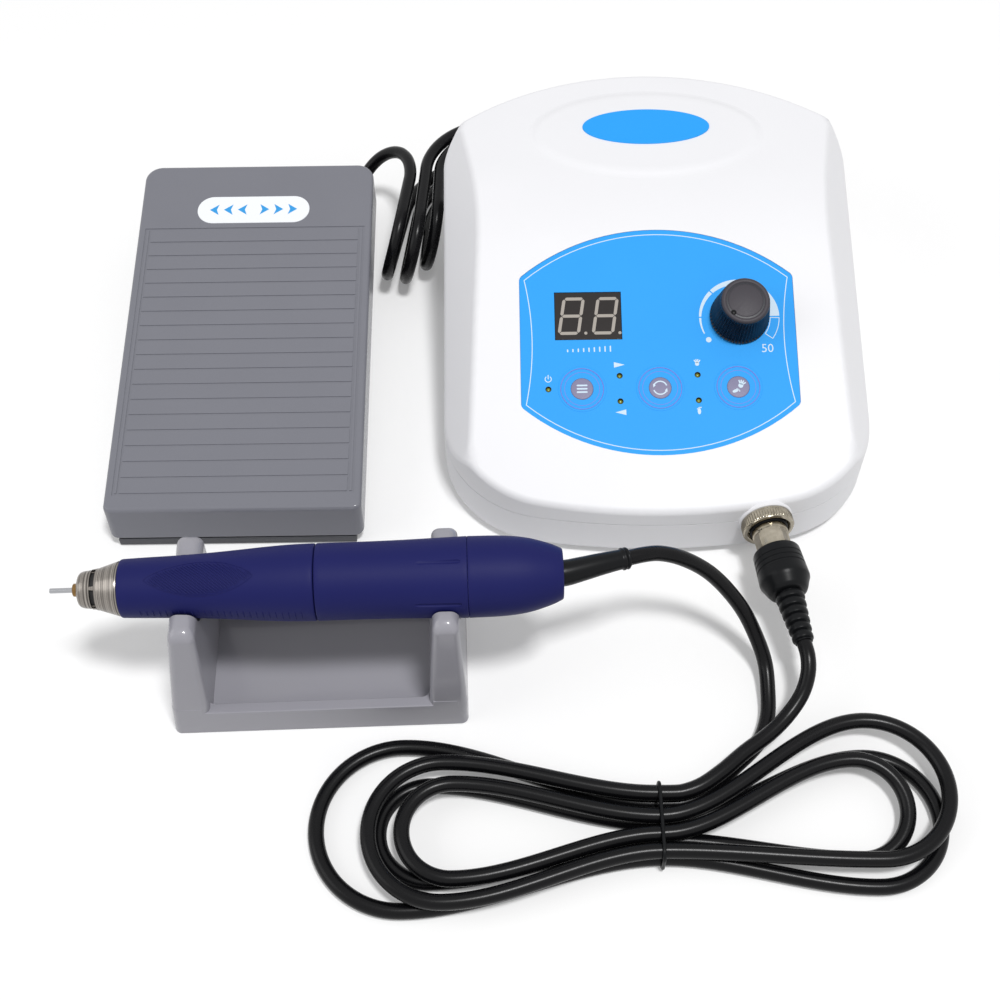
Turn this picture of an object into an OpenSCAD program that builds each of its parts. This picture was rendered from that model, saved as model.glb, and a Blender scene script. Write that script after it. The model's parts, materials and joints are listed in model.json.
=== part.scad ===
// Dental micromotor set: control box, motor handpiece on its cradle, foot pedal and their cords.
// Millimetres, Z up, +Y away from the user; the set stands on z = 0 with its box centred on the origin.

/* [Layout] */
// Control box middle, across the set
box_x = 65.5; // [60:0.5:90]
// Control box datum, along the set
box_y = -32; // [-40:0.5:-20]
// Cradle middle, across the set
cradle_x = -58.5; // [-70:0.5:-50]
// Cradle middle, along the set
cradle_y = -104; // [-125:0.5:-102]
// Turn of the cradle and handpiece in plan, degrees
cradle_yaw = 1.4; // [0:0.1:4]
// Pedal middle, across the set
pedal_x = -94; // [-105:0.5:-92]
// Pedal front edge, along the set
pedal_y = -52; // [-56:0.5:-40]

/* [Control box] */
// Width of the control box
box_width = 162; // [158:1:176]
// Front edge of the box from its datum
box_front = -26.5; // [-34:0.5:-24]
// Rear edge of the box from its datum
box_rear = 163; // [160:1:175]
// Plan radius of the bowed front
front_radius = 260; // [220:5:400]
// Plan radius of the front corners
front_corner = 42; // [34:1:48]
// Plan radius of the bowed rear
rear_radius = 114; // [108:1:130]
// Plan radius of the rear corners
rear_corner = 10; // [6:1:16]
// Shell wall thickness
wall = 2.6; // [2:0.1:3.2]
// Height of the parting line
parting = 20; // [19:0.5:21]
// Height of the rubber feet
foot_height = 3; // [2:0.5:5]
// Height of the sloping panel plane at its low datum
panel_low = 28.9; // [28:0.1:33]
// Slope of the panel, degrees
panel_tilt = 20; // [18:0.5:22]
// Place where the roof starts to bend level
roof_bend = 74; // [70:1:82]
// Radius of the roof bend
roof_radius = 110; // [90:5:140]
// Height of the side bevel at the box wall
bevel_height = 26.2; // [25:0.2:30]
// Rise of the side bevel towards the rear, degrees
bevel_rise = 16; // [14:0.5:18]
// Lean of the side bevel, degrees
bevel_lean = 57; // [52:1:62]
// Length of the raised oval
oval_length = 94; // [80:1:104]
// Depth of the raised oval
oval_depth = 48; // [40:1:52]
// Height of the raised oval
oval_height = 1.6; // [1:0.2:2.4]
// Middle of the raised oval from the box datum
oval_middle = 129; // [124:1:132]
// Length of the badge
badge_length = 50.5; // [40:0.5:60]
// Depth of the badge
badge_depth = 20; // [14:0.5:26]
// Badge thickness
badge_thick = 0.5; // [0.3:0.1:1]

/* [Panel] */
// Width of the panel overlay
overlay_width = 103.4; // [98:0.2:108]
// Length of the overlay along the slope
overlay_length = 89.8; // [84:0.2:94]
// Radius of its bowed ends
overlay_bow = 79.3; // [72:0.5:100]
// Overlay middle along the slope
overlay_middle = 64.3; // [60:0.1:68]
// Overlay thickness
overlay_thick = 0.5; // [0.3:0.1:0.8]
// Depth of the recess for the overlay
overlay_recess = 0.8; // [0.6:0.1:1.2]
// Fit round the overlay
overlay_fit = 0.4; // [0.2:0.1:0.8]
// Display width
display_width = 25; // [22:0.5:28]
// Display length along the slope
display_length = 19; // [16:0.5:22]
// Display body depth
display_depth = 7.4; // [6:0.2:8]
// Display middle across the panel
display_x = -26; // [-30:0.5:-22]
// Display middle along the slope
display_s = 74.5; // [70:0.5:78]
// Fit round the display
display_fit = 0.3; // [0.2:0.1:0.6]
// Spacing of the three buttons
button_pitch = 29; // [26:0.5:31]
// Button row along the slope
button_s = 45.5; // [43:0.5:48]
// Button cap diameter
button_dia = 8.4; // [7:0.2:9.6]
// Button travel
button_travel = 0.5; // [0.3:0.1:0.7]
// Fit round a button
button_fit = 0.35; // [0.3:0.05:0.6]
// Lamp diameter
lamp_dia = 2; // [1.6:0.1:2.6]
// Lamp offset from its button
lamp_reach = 14.9; // [13.5:0.1:16]
// Half spacing of a pair of lamps
lamp_half = 5; // [4:0.5:6]
// Knob middle across the panel
knob_x = 30.8; // [28:0.2:33]
// Knob middle along the slope
knob_s = 73.3; // [71:0.1:76]
// Knob base diameter
knob_base = 22.5; // [20:0.5:25]
// Knob top diameter
knob_top = 18; // [15:0.1:19]
// Knob height
knob_height = 15.4; // [13:0.2:18]
// Number of flutes round the knob
knob_flutes = 36; // [18:1:48]
// Potentiometer shaft diameter
pot_shaft_dia = 6; // [5:0.1:6.4]
// Running clearance of the shaft in its bush
pot_fit = 0.06; // [0.03:0.01:0.09]

/* [Plug and sockets] */
// Motor socket across the box
socket_x = 37.5; // [30:0.5:40]
// Motor socket height
socket_z = 20; // [19.5:0.1:20.5]
// Socket body diameter
socket_dia = 14; // [13:0.2:15]
// Knurled ring diameter
ring_dia = 18; // [17:0.2:18.6]
// Knurled ring length
ring_length = 5.5; // [4:0.5:7]
// Plug barrel diameter
barrel_dia = 13.2; // [12.6:0.1:13.6]
// Plug barrel reach from the wall
barrel_reach = 15; // [12:0.5:16]
// Plug body diameter
plug_dia = 17; // [15:0.5:18]
// Plug body reach from the wall
plug_reach = 33; // [30:0.5:34]
// Reach of the ribbed strain relief from the wall
relief_reach = 53; // [50:0.5:54]
// Ribs on the strain relief
relief_ribs = 6; // [4:1:8]
// Rear plate width
rear_plate_width = 97; // [95:0.5:99]
// Rear plate height
rear_plate_height = 39; // [37.5:0.5:40]
// Width of the rear opening
rear_open_width = 92; // [90:0.5:93]
// Height of the rear opening
rear_open_height = 34; // [33:0.5:35]
// Outer face of the rear plate from the box datum
rear_plate_face = 149; // [146:0.2:149.2]

/* [Handpiece] */
// Height of the handpiece axis
axis_height = 57; // [54:0.5:60]
// Nose face ahead of the cradle middle
nose_reach = 74.6; // [73:0.2:77]
// Nose length
nose_length = 13.8; // [13:0.2:15]
// Front sleeve end, from the nose face
front_end = 77.7; // [77:0.1:79]
// Rear sleeve end, from the nose face
rear_end = 128.8; // [128:0.2:130]
// Tail end, from the nose face
tail_end = 159.6; // [158:0.2:161]
// Sleeve radius at the nose
sleeve_nose = 9.7; // [9.2:0.1:10]
// Sleeve radius at the middle joint
sleeve_joint = 12.8; // [12.2:0.1:13]
// Sleeve radius at the waist
sleeve_waist = 12.8; // [12.2:0.1:13]
// Sleeve radius at the swell ahead of the tail
sleeve_swell = 13.5; // [13:0.1:13.8]
// Tail end radius
tail_radius = 8.6; // [8:0.1:9.2]
// Tool shank diameter
shank_dia = 2.35; // [2.3:0.01:2.36]
// Tool reach ahead of the nose
shank_reach = 9.8; // [8:0.2:14]
// Spindle diameter
spindle_dia = 6; // [5.6:0.1:6.2]
// Running clearance of the spindle in its bearings
spindle_fit = 0.04; // [0.02:0.01:0.08]
// Running clearance of the twist sleeve on the motor snout
sleeve_fit = 0.06; // [0.03:0.01:0.09]
// Motor snout diameter
snout_dia = 15; // [14.6:0.1:15.4]
// Motor case diameter
case_dia = 20.8; // [20.4:0.1:21.2]
// Rotor diameter
rotor_dia = 13; // [12:0.1:13.4]

/* [Cradle] */
// Cradle length
cradle_length = 103; // [98:1:108]
// Cradle depth
cradle_depth = 50; // [46:1:53]
// Cradle rail height
rail_height = 16; // [12:0.5:20]
// Tray floor thickness
tray_floor = 5; // [3:0.5:7]
// Rail thickness
rail_thick = 4.5; // [3.5:0.5:6]
// Post thickness at the tray
post_foot = 13; // [11:0.5:14]
// Post thickness at the top
post_top = 8.6; // [8:0.2:10]
// Lean of the posts at the nose end, degrees
nose_post_lean = 7; // [5:0.5:8]
// Lean of the posts at the tail end, degrees
tail_post_lean = 0; // [0:0.5:3]
// Post height
post_height = 58.5; // [57:0.5:61]
// Clearance round the handpiece in its rests
rest_gap = 0.4; // [0.3:0.1:0.8]

/* [Pedal] */
// Pedal width
pedal_width = 96; // [93:1:100]
// Pedal length
pedal_length = 169.5; // [166:0.5:174]
// Height of the pedal cover
cover_height = 17.5; // [17:0.5:20]
// Ground clearance of the pressed cover
cover_clear = 4.5; // [4:0.5:6]
// Cover wall thickness
cover_wall = 2.4; // [2:0.1:3]
// Raised angle of the cover at rest, degrees
pedal_angle = 6.3; // [5:0.1:7]
// Hinge from the front edge
hinge_y = 14; // [12:0.5:16]
// Hinge height
hinge_z = 9.5; // [9:0.5:10.5]
// Hinge pin diameter
hinge_dia = 4; // [3.5:0.1:4.4]
// Running clearance of the hinge
hinge_fit = 0.06; // [0.03:0.01:0.09]
// Number of tread grooves
tread_count = 19; // [12:1:20]
// Spacing of the tread grooves
tread_pitch = 6.93; // [6.5:0.01:7.1]
// Width of a tread groove
tread_width = 1; // [0.8:0.1:1.6]
// Depth of a tread groove
tread_depth = 0.5; // [0.3:0.1:1]
// First groove from the front edge
tread_start = 10.5; // [8:0.5:12]
// Switch from the front edge
switch_y = 45; // [40:1:50]
// Spring from the front edge
spring_y = 90; // [80:1:100]
// Spring coils
spring_coils = 7; // [5:1:9]
// Spring wire diameter
spring_wire = 1.4; // [1:0.1:1.6]
// Spring diameter at the wire middle
spring_dia = 13; // [11:0.5:15]

/* [Cords] */
// Handpiece cord diameter
cord_dia = 5.4; // [5:0.1:5.5]
// Pedal cord diameter
foot_cord_dia = 5.2; // [4.8:0.1:5.3]

/* [Hidden] */
$fn = 64;
eps = 0.02;

// plan outline of the control box, drawn in by i
fcy = box_front + front_radius;
rcy = box_rear - rear_radius;
function arc(cx, cy, r, a0, a1, n) = [for (k = [0:n]) let (a = a0 + (a1 - a0) * k / n)
    [cx + r * cos(a), cy + r * sin(a)]];
function outline(i) = let (
    hw = box_width / 2 - i, fr = front_radius - i, cr = front_corner - i, rr = rear_radius - i,
    rc = rear_corner - i, cx = hw - cr, cy = fcy - sqrt(pow(fr - cr, 2) - cx * cx),
    bx = hw - rc, by = rcy + sqrt(pow(rr - rc, 2) - bx * bx),
    af = atan2(cy - fcy, cx), ab = atan2(by - rcy, bx))
    concat(arc(0, fcy, fr, -180 - af, af, 12), arc(cx, cy, cr, af, 0, 14), arc(bx, by, rc, 0, ab, 6),
        arc(0, rcy, rr, ab, 180 - ab, 24), arc(-bx, by, rc, 180 - ab, 180, 6),
        arc(-cx, cy, cr, 180, 180 - af, 14));
function front_at(x) = fcy - sqrt(pow(front_radius, 2) - x * x);

// side profile of the roof, lowered by d
panel_y0 = -24;
bend_z = panel_low + (roof_bend - panel_y0) * tan(panel_tilt);
roof_y = roof_bend + roof_radius * sin(panel_tilt);
roof_z = bend_z + roof_radius * (1 - cos(panel_tilt));
function roof(d) = let (r = roof_radius - d) concat(
    [[-70, -20], [box_rear + 40, -20], [box_rear + 40, roof_z - d]],
    [for (k = [0:10]) let (a = panel_tilt * k / 10) [roof_y - r * sin(a),
        roof_z - roof_radius + r * cos(a)]],
    [[-70, panel_low + (-70 - panel_y0) * tan(panel_tilt) - d / cos(panel_tilt)]]);
function rrect(w, h, r) = concat(arc(w / 2 - r, -h / 2 + r, r, -90, 0, 6),
    arc(w / 2 - r, h / 2 - r, r, 0, 90, 6),
    arc(-w / 2 + r, h / 2 - r, r, 90, 180, 6), arc(-w / 2 + r, -h / 2 + r, r, 180, 270, 6));
function oval(w, h, n) = [for (k = [0:n - 1]) [w / 2 * cos(360 * k / n), h / 2 * sin(360 * k / n)]];

module at_box() translate([box_x, box_y, 0]) children();
module at_panel() at_box() translate([0, panel_y0, panel_low]) rotate([panel_tilt, 0, 0]) children();
module at_socket() at_box() translate([socket_x, front_at(socket_x), socket_z])
    rotate([0, 0, asin(socket_x / front_radius)]) rotate([90, 0, 0]) children();
module at_cradle() translate([cradle_x, cradle_y, 0]) rotate([0, 0, cradle_yaw]) children();
module on_axis() at_cradle() translate([-nose_reach, 0, axis_height]) rotate([0, 90, 0]) children();
module at_pedal() translate([pedal_x, pedal_y, 0]) children();
module at_cover() at_pedal() translate([0, hinge_y, hinge_z]) rotate([pedal_angle, 0, 0])
    translate([0, -hinge_y, -hinge_z]) children();

// outer form of the control box, drawn in by i
module form(i) difference() {
    intersection() {
        translate([0, 0, -1]) linear_extrude(130) polygon(outline(i));
        translate([-box_width, 0, 0]) rotate([90, 0, 90]) linear_extrude(2 * box_width) polygon(roof(i));
    }
    for (m = [0, 1]) mirror([m, 0, 0]) translate([box_width / 2, 18, bevel_height])
        rotate([bevel_rise, 0, 0])
        rotate([0, bevel_lean, 0]) translate([-250, -300, -i]) cube([500, 600, 200]);
}
module slab(z0, z1) translate([-200, -200, z0]) cube([400, 600, z1 - z0]);

// outlines on the panel
module overlay_shape(g) intersection() {
    translate([-overlay_width / 2 - g, 0]) square([overlay_width + 2 * g, 200]);
    translate([0, overlay_middle + overlay_length / 2 - overlay_bow]) circle(overlay_bow + g, $fn = 120);
    translate([0, overlay_middle - overlay_length / 2 + overlay_bow]) circle(overlay_bow + g, $fn = 120);
}
overlay_top = overlay_thick - overlay_recess;
lamp_spots = [[-button_pitch - 12.5, button_s], [-lamp_reach, button_s + lamp_half],
    [-lamp_reach, button_s - lamp_half],
    [button_pitch - lamp_reach, button_s + lamp_half], [button_pitch - lamp_reach, button_s - lamp_half]];
bush_dia = pot_shaft_dia + 2.4;
module panel_holes(top) {
    translate([display_x - display_width / 2 - display_fit, display_s - display_length / 2 - display_fit,
        -12])
        cube([display_width + 2 * display_fit, display_length + 2 * display_fit, 12 + top]);
    for (k = [-1:1]) translate([k * button_pitch, button_s, -12])
        cylinder(d = button_dia + 2 * button_fit, h = 12 + top);
    for (p = lamp_spots) translate([p[0], p[1], -12]) cylinder(d = lamp_dia + 0.3, h = 12 + top, $fn = 24);
    translate([knob_x, knob_s, -12]) cylinder(d = bush_dia + 0.3, h = 12 + top);
}

// screw posts of the control box
screw_spots = [[-58, 12], [58, 12], [-64, 108], [64, 108]];
boss_dia = 9;
lip = 1.5;
lip_fit = 0.25;
frame_low = 27 - rear_open_height / 2 - 3;
module rear_frame() intersection() {
    form(1);
    translate([-rear_open_width / 2 - 3, rear_plate_face + 0.1, frame_low])
        cube([rear_open_width + 6, 40, rear_open_height + 6]);
}
module rear_opening() translate([-rear_open_width / 2, rear_plate_face - 20, 27 - rear_open_height / 2])
    cube([rear_open_width, 60, rear_open_height]);
pad_dia = 19.5;
module socket_pad() at_socket() translate([0, 0, 0.3 - wall]) cylinder(d = pad_dia, h = wall + 0.5);
module socket_hole() at_socket() translate([0, 0, -20]) cylinder(d = socket_dia + 0.6, h = 40);

module top_shell() color("#f4f4f6") union() {
    difference() {
        union() {
            at_box() intersection() {
                difference() {
                    union() {
                        form(0);
                        translate([0, oval_middle, roof_z - 2]) linear_extrude(2 + oval_height)
                            polygon(oval(oval_length, oval_depth, 64));
                    }
                    form(wall);
                }
                slab(parting + 0.2, 130);
            }
            at_box() intersection() { rear_frame(); slab(parting + 0.2, 130); }
            intersection() { at_box() slab(parting + 0.2, panel_low); socket_pad(); }
        }
        at_box() rear_opening();
        socket_hole();
        at_panel() translate([0, 0, -overlay_recess]) linear_extrude(10) overlay_shape(overlay_fit);
        at_panel() panel_holes(5);
    }
    at_box() for (p = screw_spots) difference() {
        intersection() { form(1); translate([p[0], p[1], parting + 0.2]) cylinder(d = boss_dia, h = 90); }
        translate([p[0], p[1], parting - 1]) cylinder(d = 3.2, h = 12, $fn = 32);
    }
}

module bottom_shell() color("#f1f1f4") difference() {
    union() {
        at_box() intersection() {
            difference() { form(0); intersection() { form(wall); slab(foot_height + wall, 130); } }
            slab(foot_height, parting);
        }
        at_box() difference() {
            union() {
                translate([0, 0, parting - 4]) linear_extrude(4) polygon(outline(wall - eps));
                translate([0, 0, parting - 4]) linear_extrude(6) polygon(outline(wall + lip_fit));
            }
            translate([0, 0, parting - 5]) linear_extrude(10) polygon(outline(wall + lip_fit + lip));
            translate([-rear_plate_width / 2 - 0.6, 100, parting - 5])
                cube([rear_plate_width + 1.2, 60, 10]);
        }
        at_box() for (p = screw_spots) translate([p[0], p[1], foot_height])
            cylinder(d = boss_dia, h = parting - foot_height);
        at_box() for (p = board_posts) translate([p[0], p[1], foot_height + wall - eps])
            cylinder(d = 7, h = board_lift + eps);
        at_box() intersection() { rear_frame(); slab(foot_height, parting); }
        intersection() { at_box() slab(foot_height, parting); socket_pad(); }
    }
    at_box() rear_opening();
    socket_hole();
    at_box() for (p = screw_spots) {
        translate([p[0], p[1], 0]) cylinder(d = 3.4, h = 60, $fn = 32);
        translate([p[0], p[1], foot_height - 1]) cylinder(d = 6.6, h = 9, $fn = 32);
    }
    at_box() for (p = board_posts) translate([p[0], p[1], foot_height + wall])
        cylinder(d = 2.4, h = 40, $fn = 24);
}

module box_screws() color("#8b8d92") at_box() for (p = screw_spots)
    translate([p[0], p[1], foot_height + 8]) {
    translate([0, 0, -2.4]) cylinder(d = 5.6, h = 2.4, $fn = 32);
    translate([0, 0, -eps]) cylinder(d = 2.9, h = parting - foot_height - 8 + 10, $fn = 24);
}

foot_spots = [[-56, 30], [56, 30], [-58, 108], [58, 108]];
pedal_foot = 2.2;
module rubber_feet() color("#26272a") {
    at_box() for (p = foot_spots) translate([p[0], p[1] + 8, 0])
        cylinder(d = 13, h = foot_height, $fn = 48);
    at_pedal() for (p = pedal_foot_spots) translate([p[0], p[1], 0])
        cylinder(d = 12, h = pedal_foot, $fn = 48);
}

// panel pieces
module panel_overlay() color("#2f9fee") at_panel() difference() {
    translate([0, 0, -overlay_recess]) linear_extrude(overlay_thick) overlay_shape(0);
    panel_holes(5);
}
module badge_plate() color("#2f9fee") at_box() translate([0, oval_middle + 1, roof_z + oval_height])
    linear_extrude(badge_thick) polygon(oval(badge_length, badge_depth, 64));
module display_body() color("#17181b") at_panel() translate([display_x, display_s,
    -overlay_recess - display_depth])
    translate([-display_width / 2, -display_length / 2, 0]) cube([display_width, display_length,
        display_depth + 0.2]);
board_top = -overlay_recess - display_depth;
board_width = overlay_width - 11.4;
board_length = overlay_length - 37.8;
board_s = overlay_middle - 28.3;
module panel_board() color("#2e6b3c") at_panel() difference() {
    translate([-board_width / 2, board_s, board_top - 1.6]) cube([board_width, board_length, 1.6]);
    translate([knob_x, knob_s, board_top - 5]) cylinder(d = 19, h = 10);
}
switch_top = -wall - 1.6 - button_travel - 0.4;
module tact_switches() color("#3a3b3e") at_panel() for (k = [-1:1])
    translate([k * button_pitch, button_s, board_top]) {
    translate([-3, -3, 0]) cube([6, 6, switch_top - board_top - 0.8]);
    cylinder(d = 3.2, h = switch_top - board_top, $fn = 32);
}
module indicator_lamps() color("#7f8a3a") at_panel() for (p = lamp_spots)
    translate([p[0], p[1], board_top]) {
    cylinder(d = 3, h = -wall - 0.6 - board_top, $fn = 32);
    cylinder(d = lamp_dia, h = overlay_top - board_top + 0.1, $fn = 24);
}
button_rise = 0.25;
module push_button(k) at_panel() translate([k * button_pitch, button_s, 0]) {
    translate([0, 0, -wall - 0.3]) cylinder(d = button_dia, h = wall + 0.3 + overlay_top + button_rise);
    translate([0, 0, -wall - 1.6]) cylinder(d = button_dia + 2.4, h = 1.3);
}
module mode_button() color("#8d8aa6") push_button(-1);
module direction_button() color("#8d8aa6") push_button(0);
module hand_foot_button() color("#8d8aa6") push_button(1);

// speed control
knob_gap = 0.6;
nut_high = 2.4;
bush_high = 4.2;
module pot_body() color("#a9abad") at_panel() translate([knob_x, knob_s, 0]) {
    difference() {
        union() {
            translate([0, 0, -wall - 9.1]) cylinder(d = 16.5, h = 9);
            translate([0, 0, -wall - 1]) cylinder(d = bush_dia, h = wall + 1 + bush_high);
            translate([0, 0, overlay_top]) cylinder(d = 12, h = nut_high - 1, $fn = 6);
        }
        translate([0, 0, -wall - 6]) cylinder(d = pot_shaft_dia + 2 * pot_fit, h = 30);
    }
}
module pot_shaft() color("#c4c6c8") at_panel() translate([knob_x, knob_s, -wall - 5.5])
    cylinder(d = pot_shaft_dia, h = wall + 5.5 + knob_gap + knob_height - 3);
module speed_knob() color("#1c1d20") at_panel() translate([knob_x, knob_s, knob_gap]) difference() {
    rotate_extrude() polygon([[0, 0], [knob_base / 2, 0], [knob_base / 2, 2.6], [knob_base / 2 - 0.9, 3.2],
        [knob_top / 2, knob_height - 0.8], [knob_top / 2 - 0.8, knob_height], [0, knob_height]]);
    for (k = [0:knob_flutes - 1]) rotate([0, 0, 360 * k / knob_flutes])
        translate([knob_base / 2 - 0.6, 0, 3.4])
        rotate([0, -atan2((knob_base - knob_top) / 2 - 0.9, knob_height - 4), 0])
            cylinder(d = 1.2, h = 30, $fn = 12);
    translate([0, 0, -1]) cylinder(d = 15, h = 1 + bush_high);
    translate([0, 0, -1]) cylinder(d = pot_shaft_dia, h = knob_height - 3 + 1);
    rotate([0, 0, 225]) translate([knob_top / 2 - 2.2, 0, knob_height - 0.7])
        cylinder(d = 1.8, h = 3, $fn = 24);
}

// inside the control box
board_lift = 5;
board_posts = [[-46, 8], [46, 8], [-46, 66], [46, 66]];
board_z = foot_height + wall + board_lift;
main_width = box_width - 58;
main_length = roof_bend - 4;
module control_board() color("#2f6f43") at_box() translate([0, 0, board_z]) {
    translate([-main_width / 2, 2, 0]) cube([main_width, main_length, 1.6]);
    for (x = [-34, -20]) translate([x, 56, 1.6 - eps]) cylinder(d = 12, h = 20);
    translate([-6, 50, 1.6 - eps]) cube([40, 14, 16]);
    translate([-30, 12, 1.6 - eps]) cube([24, 10, 3]);
    translate([8, 10, 1.6 - eps]) cube([12, 8, 7]);
}
tf_low = foot_height + wall;
tf_y = 96;
tf_width = 60;
tf_depth = 26;
tf_height = 50;
tf_window = 10.4;
tf_yoke = 10;
module transformer_core() color("#5b5d62") at_box() translate([0, tf_y, tf_low]) difference() {
    translate([-tf_width / 2, -tf_depth / 2, 0]) cube([tf_width, tf_depth, tf_height]);
    for (s = [-1, 1]) translate([s * tf_width / 4 - tf_window / 2, -tf_depth, tf_yoke])
        cube([tf_window, 2 * tf_depth, tf_height - 2 * tf_yoke]);
}
coil_half = tf_width / 4 + tf_window / 2 - 0.4;
limb_half = tf_width / 4 - tf_window / 2 + 0.2;
module transformer_coil() color("#b5793a") at_box() translate([0, tf_y, tf_low + tf_yoke + 0.3])
    difference() {
    translate([-coil_half, -tf_depth / 2 - 8, 0])
        cube([2 * coil_half, tf_depth + 16, tf_height - 2 * tf_yoke - 0.6]);
    translate([-limb_half, -tf_depth / 2 - 0.1, -1]) cube([2 * limb_half, tf_depth + 0.2, tf_height]);
}

// motor socket and plug, along the socket axis
module motor_socket() color("#b9b3a6") at_socket() difference() {
    union() {
        translate([0, 0, -16]) cylinder(d = socket_dia, h = 16 + ring_length);
        translate([0, 0, -wall - 6]) cylinder(d = socket_dia + 2.2, h = 2);
    }
    translate([0, 0, -10]) cylinder(d = barrel_dia - 1.4, h = 40);
}
module socket_ring() color("#b9b1a0") at_socket() difference() {
    translate([0, 0, 0.9]) cylinder(d = ring_dia, h = ring_length - 0.9);
    translate([0, 0, -1]) cylinder(d = socket_dia + 0.1, h = 20);
    for (k = [0:35]) rotate([0, 0, 10 * k]) translate([ring_dia / 2 + 0.25, 0, -1])
        cylinder(d = 1.1, h = 20, $fn = 16);
}
module plug_barrel() color("#c2baa8") at_socket() difference() {
    union() {
        translate([0, 0, -8]) cylinder(d = barrel_dia - 1.6, h = 9 + ring_length);
        translate([0, 0, ring_length + 0.2]) cylinder(d = barrel_dia, h = barrel_reach - ring_length - 0.2);
    }
    translate([0, 0, -20]) cylinder(d = barrel_dia - 3.2, h = 60);
    for (s = [-1, 1]) translate([-20, s * (barrel_dia / 2 - 0.5) - (s > 0 ? 0 : 4), ring_length + 3])
        cube([40, 4, 4.5]);
}
relief_start = plug_reach + 0.2;
relief_step = (relief_reach - relief_start) / relief_ribs;
module plug_body() color("#1d1e21") at_socket() {
    rotate_extrude() polygon([[0, barrel_reach + 0.1], [plug_dia / 2 - 1.2, barrel_reach + 0.1],
        [plug_dia / 2 - 0.6, barrel_reach + 1],
        [plug_dia / 2 - 0.6, barrel_reach + 4], [plug_dia / 2 - 1.1, barrel_reach + 4.3],
            [plug_dia / 2 - 1.1, barrel_reach + 5.2],
        [plug_dia / 2 - 0.4, barrel_reach + 5.5], [plug_dia / 2 - 0.4, barrel_reach + 8],
            [plug_dia / 2, barrel_reach + 8.4],
        [plug_dia / 2 - 0.6, plug_reach - 1.2], [plug_dia / 2 - 2.2, plug_reach], [0, plug_reach]]);
    rotate_extrude() polygon(concat([[0, plug_reach - 1]], [for (k = [0:relief_ribs - 1], e = [0:3])
        let (r = plug_dia / 2 - 2.6 - 2.6 * k / (relief_ribs - 1))
        [e == 0 || e == 3 ? r - 0.9 : r, relief_start + relief_step * (k + [0, 0.18, 0.62, 0.8][e])]],
        [[cord_dia / 2 + 0.6, relief_reach], [0, relief_reach]]));
}

// rear plate with the mains inlet, power switch and pedal socket
inlet_x = -26;
rocker_x = 8;
jack_x = 34;
rear_mid = 27;
module rear_plate() color("#e9eaec") at_box() translate([0, rear_plate_face, rear_mid]) rotate([90, 0, 0])
    difference() {
    translate([-rear_plate_width / 2, -rear_plate_height / 2, 0])
        cube([rear_plate_width, rear_plate_height, 2]);
    translate([inlet_x - 13.8, -10.1, -1]) cube([27.6, 20.2, 5]);
    translate([rocker_x - 6.8, -9.8, -1]) cube([13.6, 19.6, 5]);
    translate([jack_x, 0, -1]) cylinder(d = 8.3, h = 5);
}
inlet_deep = 22;
module mains_inlet() color("#222326") at_box() translate([inlet_x, rear_plate_face, rear_mid])
    rotate([90, 0, 0]) difference() {
    union() {
        translate([-15.4, -11.8, -2]) cube([30.8, 23.6, 2]);
        translate([-13.5, -9.8, -eps]) cube([27, 19.6, inlet_deep + 2]);
    }
    translate([-12, -8, -5]) cube([24, 16, 5 + inlet_deep - 2]);
    for (p = [[-7, -1], [7, -1], [0, 3]]) translate([p[0] - 1.1, p[1] - 2.1, 0]) cube([2.2, 4.2, 60]);
}
module inlet_pins() color("#c9c5b4") at_box() translate([inlet_x, rear_plate_face, rear_mid])
    rotate([90, 0, 0])
    for (p = [[-7, -1], [7, -1], [0, 3]]) translate([p[0] - 1, p[1] - 2, 5]) cube([2, 4, inlet_deep + 3]);
rocker_pivot = 3;
trunnion_dia = 2.4;
trunnion_fit = 0.05;
module switch_frame() color("#232427") at_box() translate([rocker_x, rear_plate_face, rear_mid])
    rotate([90, 0, 0]) difference() {
    union() {
        translate([-7.6, -10.6, -2]) cube([15.2, 21.2, 2]);
        translate([-6.6, -9.6, -eps]) cube([13.2, 19.2, 14]);
    }
    translate([-5.2, -8.2, -5]) cube([10.4, 16.4, 15]);
    translate([-5.9, 0, rocker_pivot]) rotate([0, 90, 0])
        cylinder(d = trunnion_dia + 2 * trunnion_fit, h = 11.8, $fn = 32);
}

module switch_rocker() color("#1b1c1f") at_box() translate([rocker_x, rear_plate_face, rear_mid])
    rotate([90, 0, 0])
    translate([0, 0, rocker_pivot]) rotate([0, -90, 0]) {
    translate([0, 0, -4.9]) linear_extrude(9.8)
        polygon([[3.2, -3], [3.2, 3], [1.2, 6.8], [-5.2, 7.7], [-3.9, 0.4], [-7, -6.3], [1.2, -6.6]]);
    translate([0, 0, -5.7]) cylinder(d = trunnion_dia, h = 11.4, $fn = 32);
}
module pedal_socket() color("#b7b9bb") at_box() translate([jack_x, rear_plate_face, rear_mid])
    rotate([90, 0, 0]) difference() {
    union() {
        translate([0, 0, -3]) cylinder(d = 8, h = 20);
        translate([0, 0, -2]) cylinder(d = 11, h = 1.9, $fn = 6);
        translate([-5, -5, 2.1]) cube([10, 10, 12]);
    }
    translate([0, 0, -5]) cylinder(d = 3.7, h = 20, $fn = 32);
}

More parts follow.
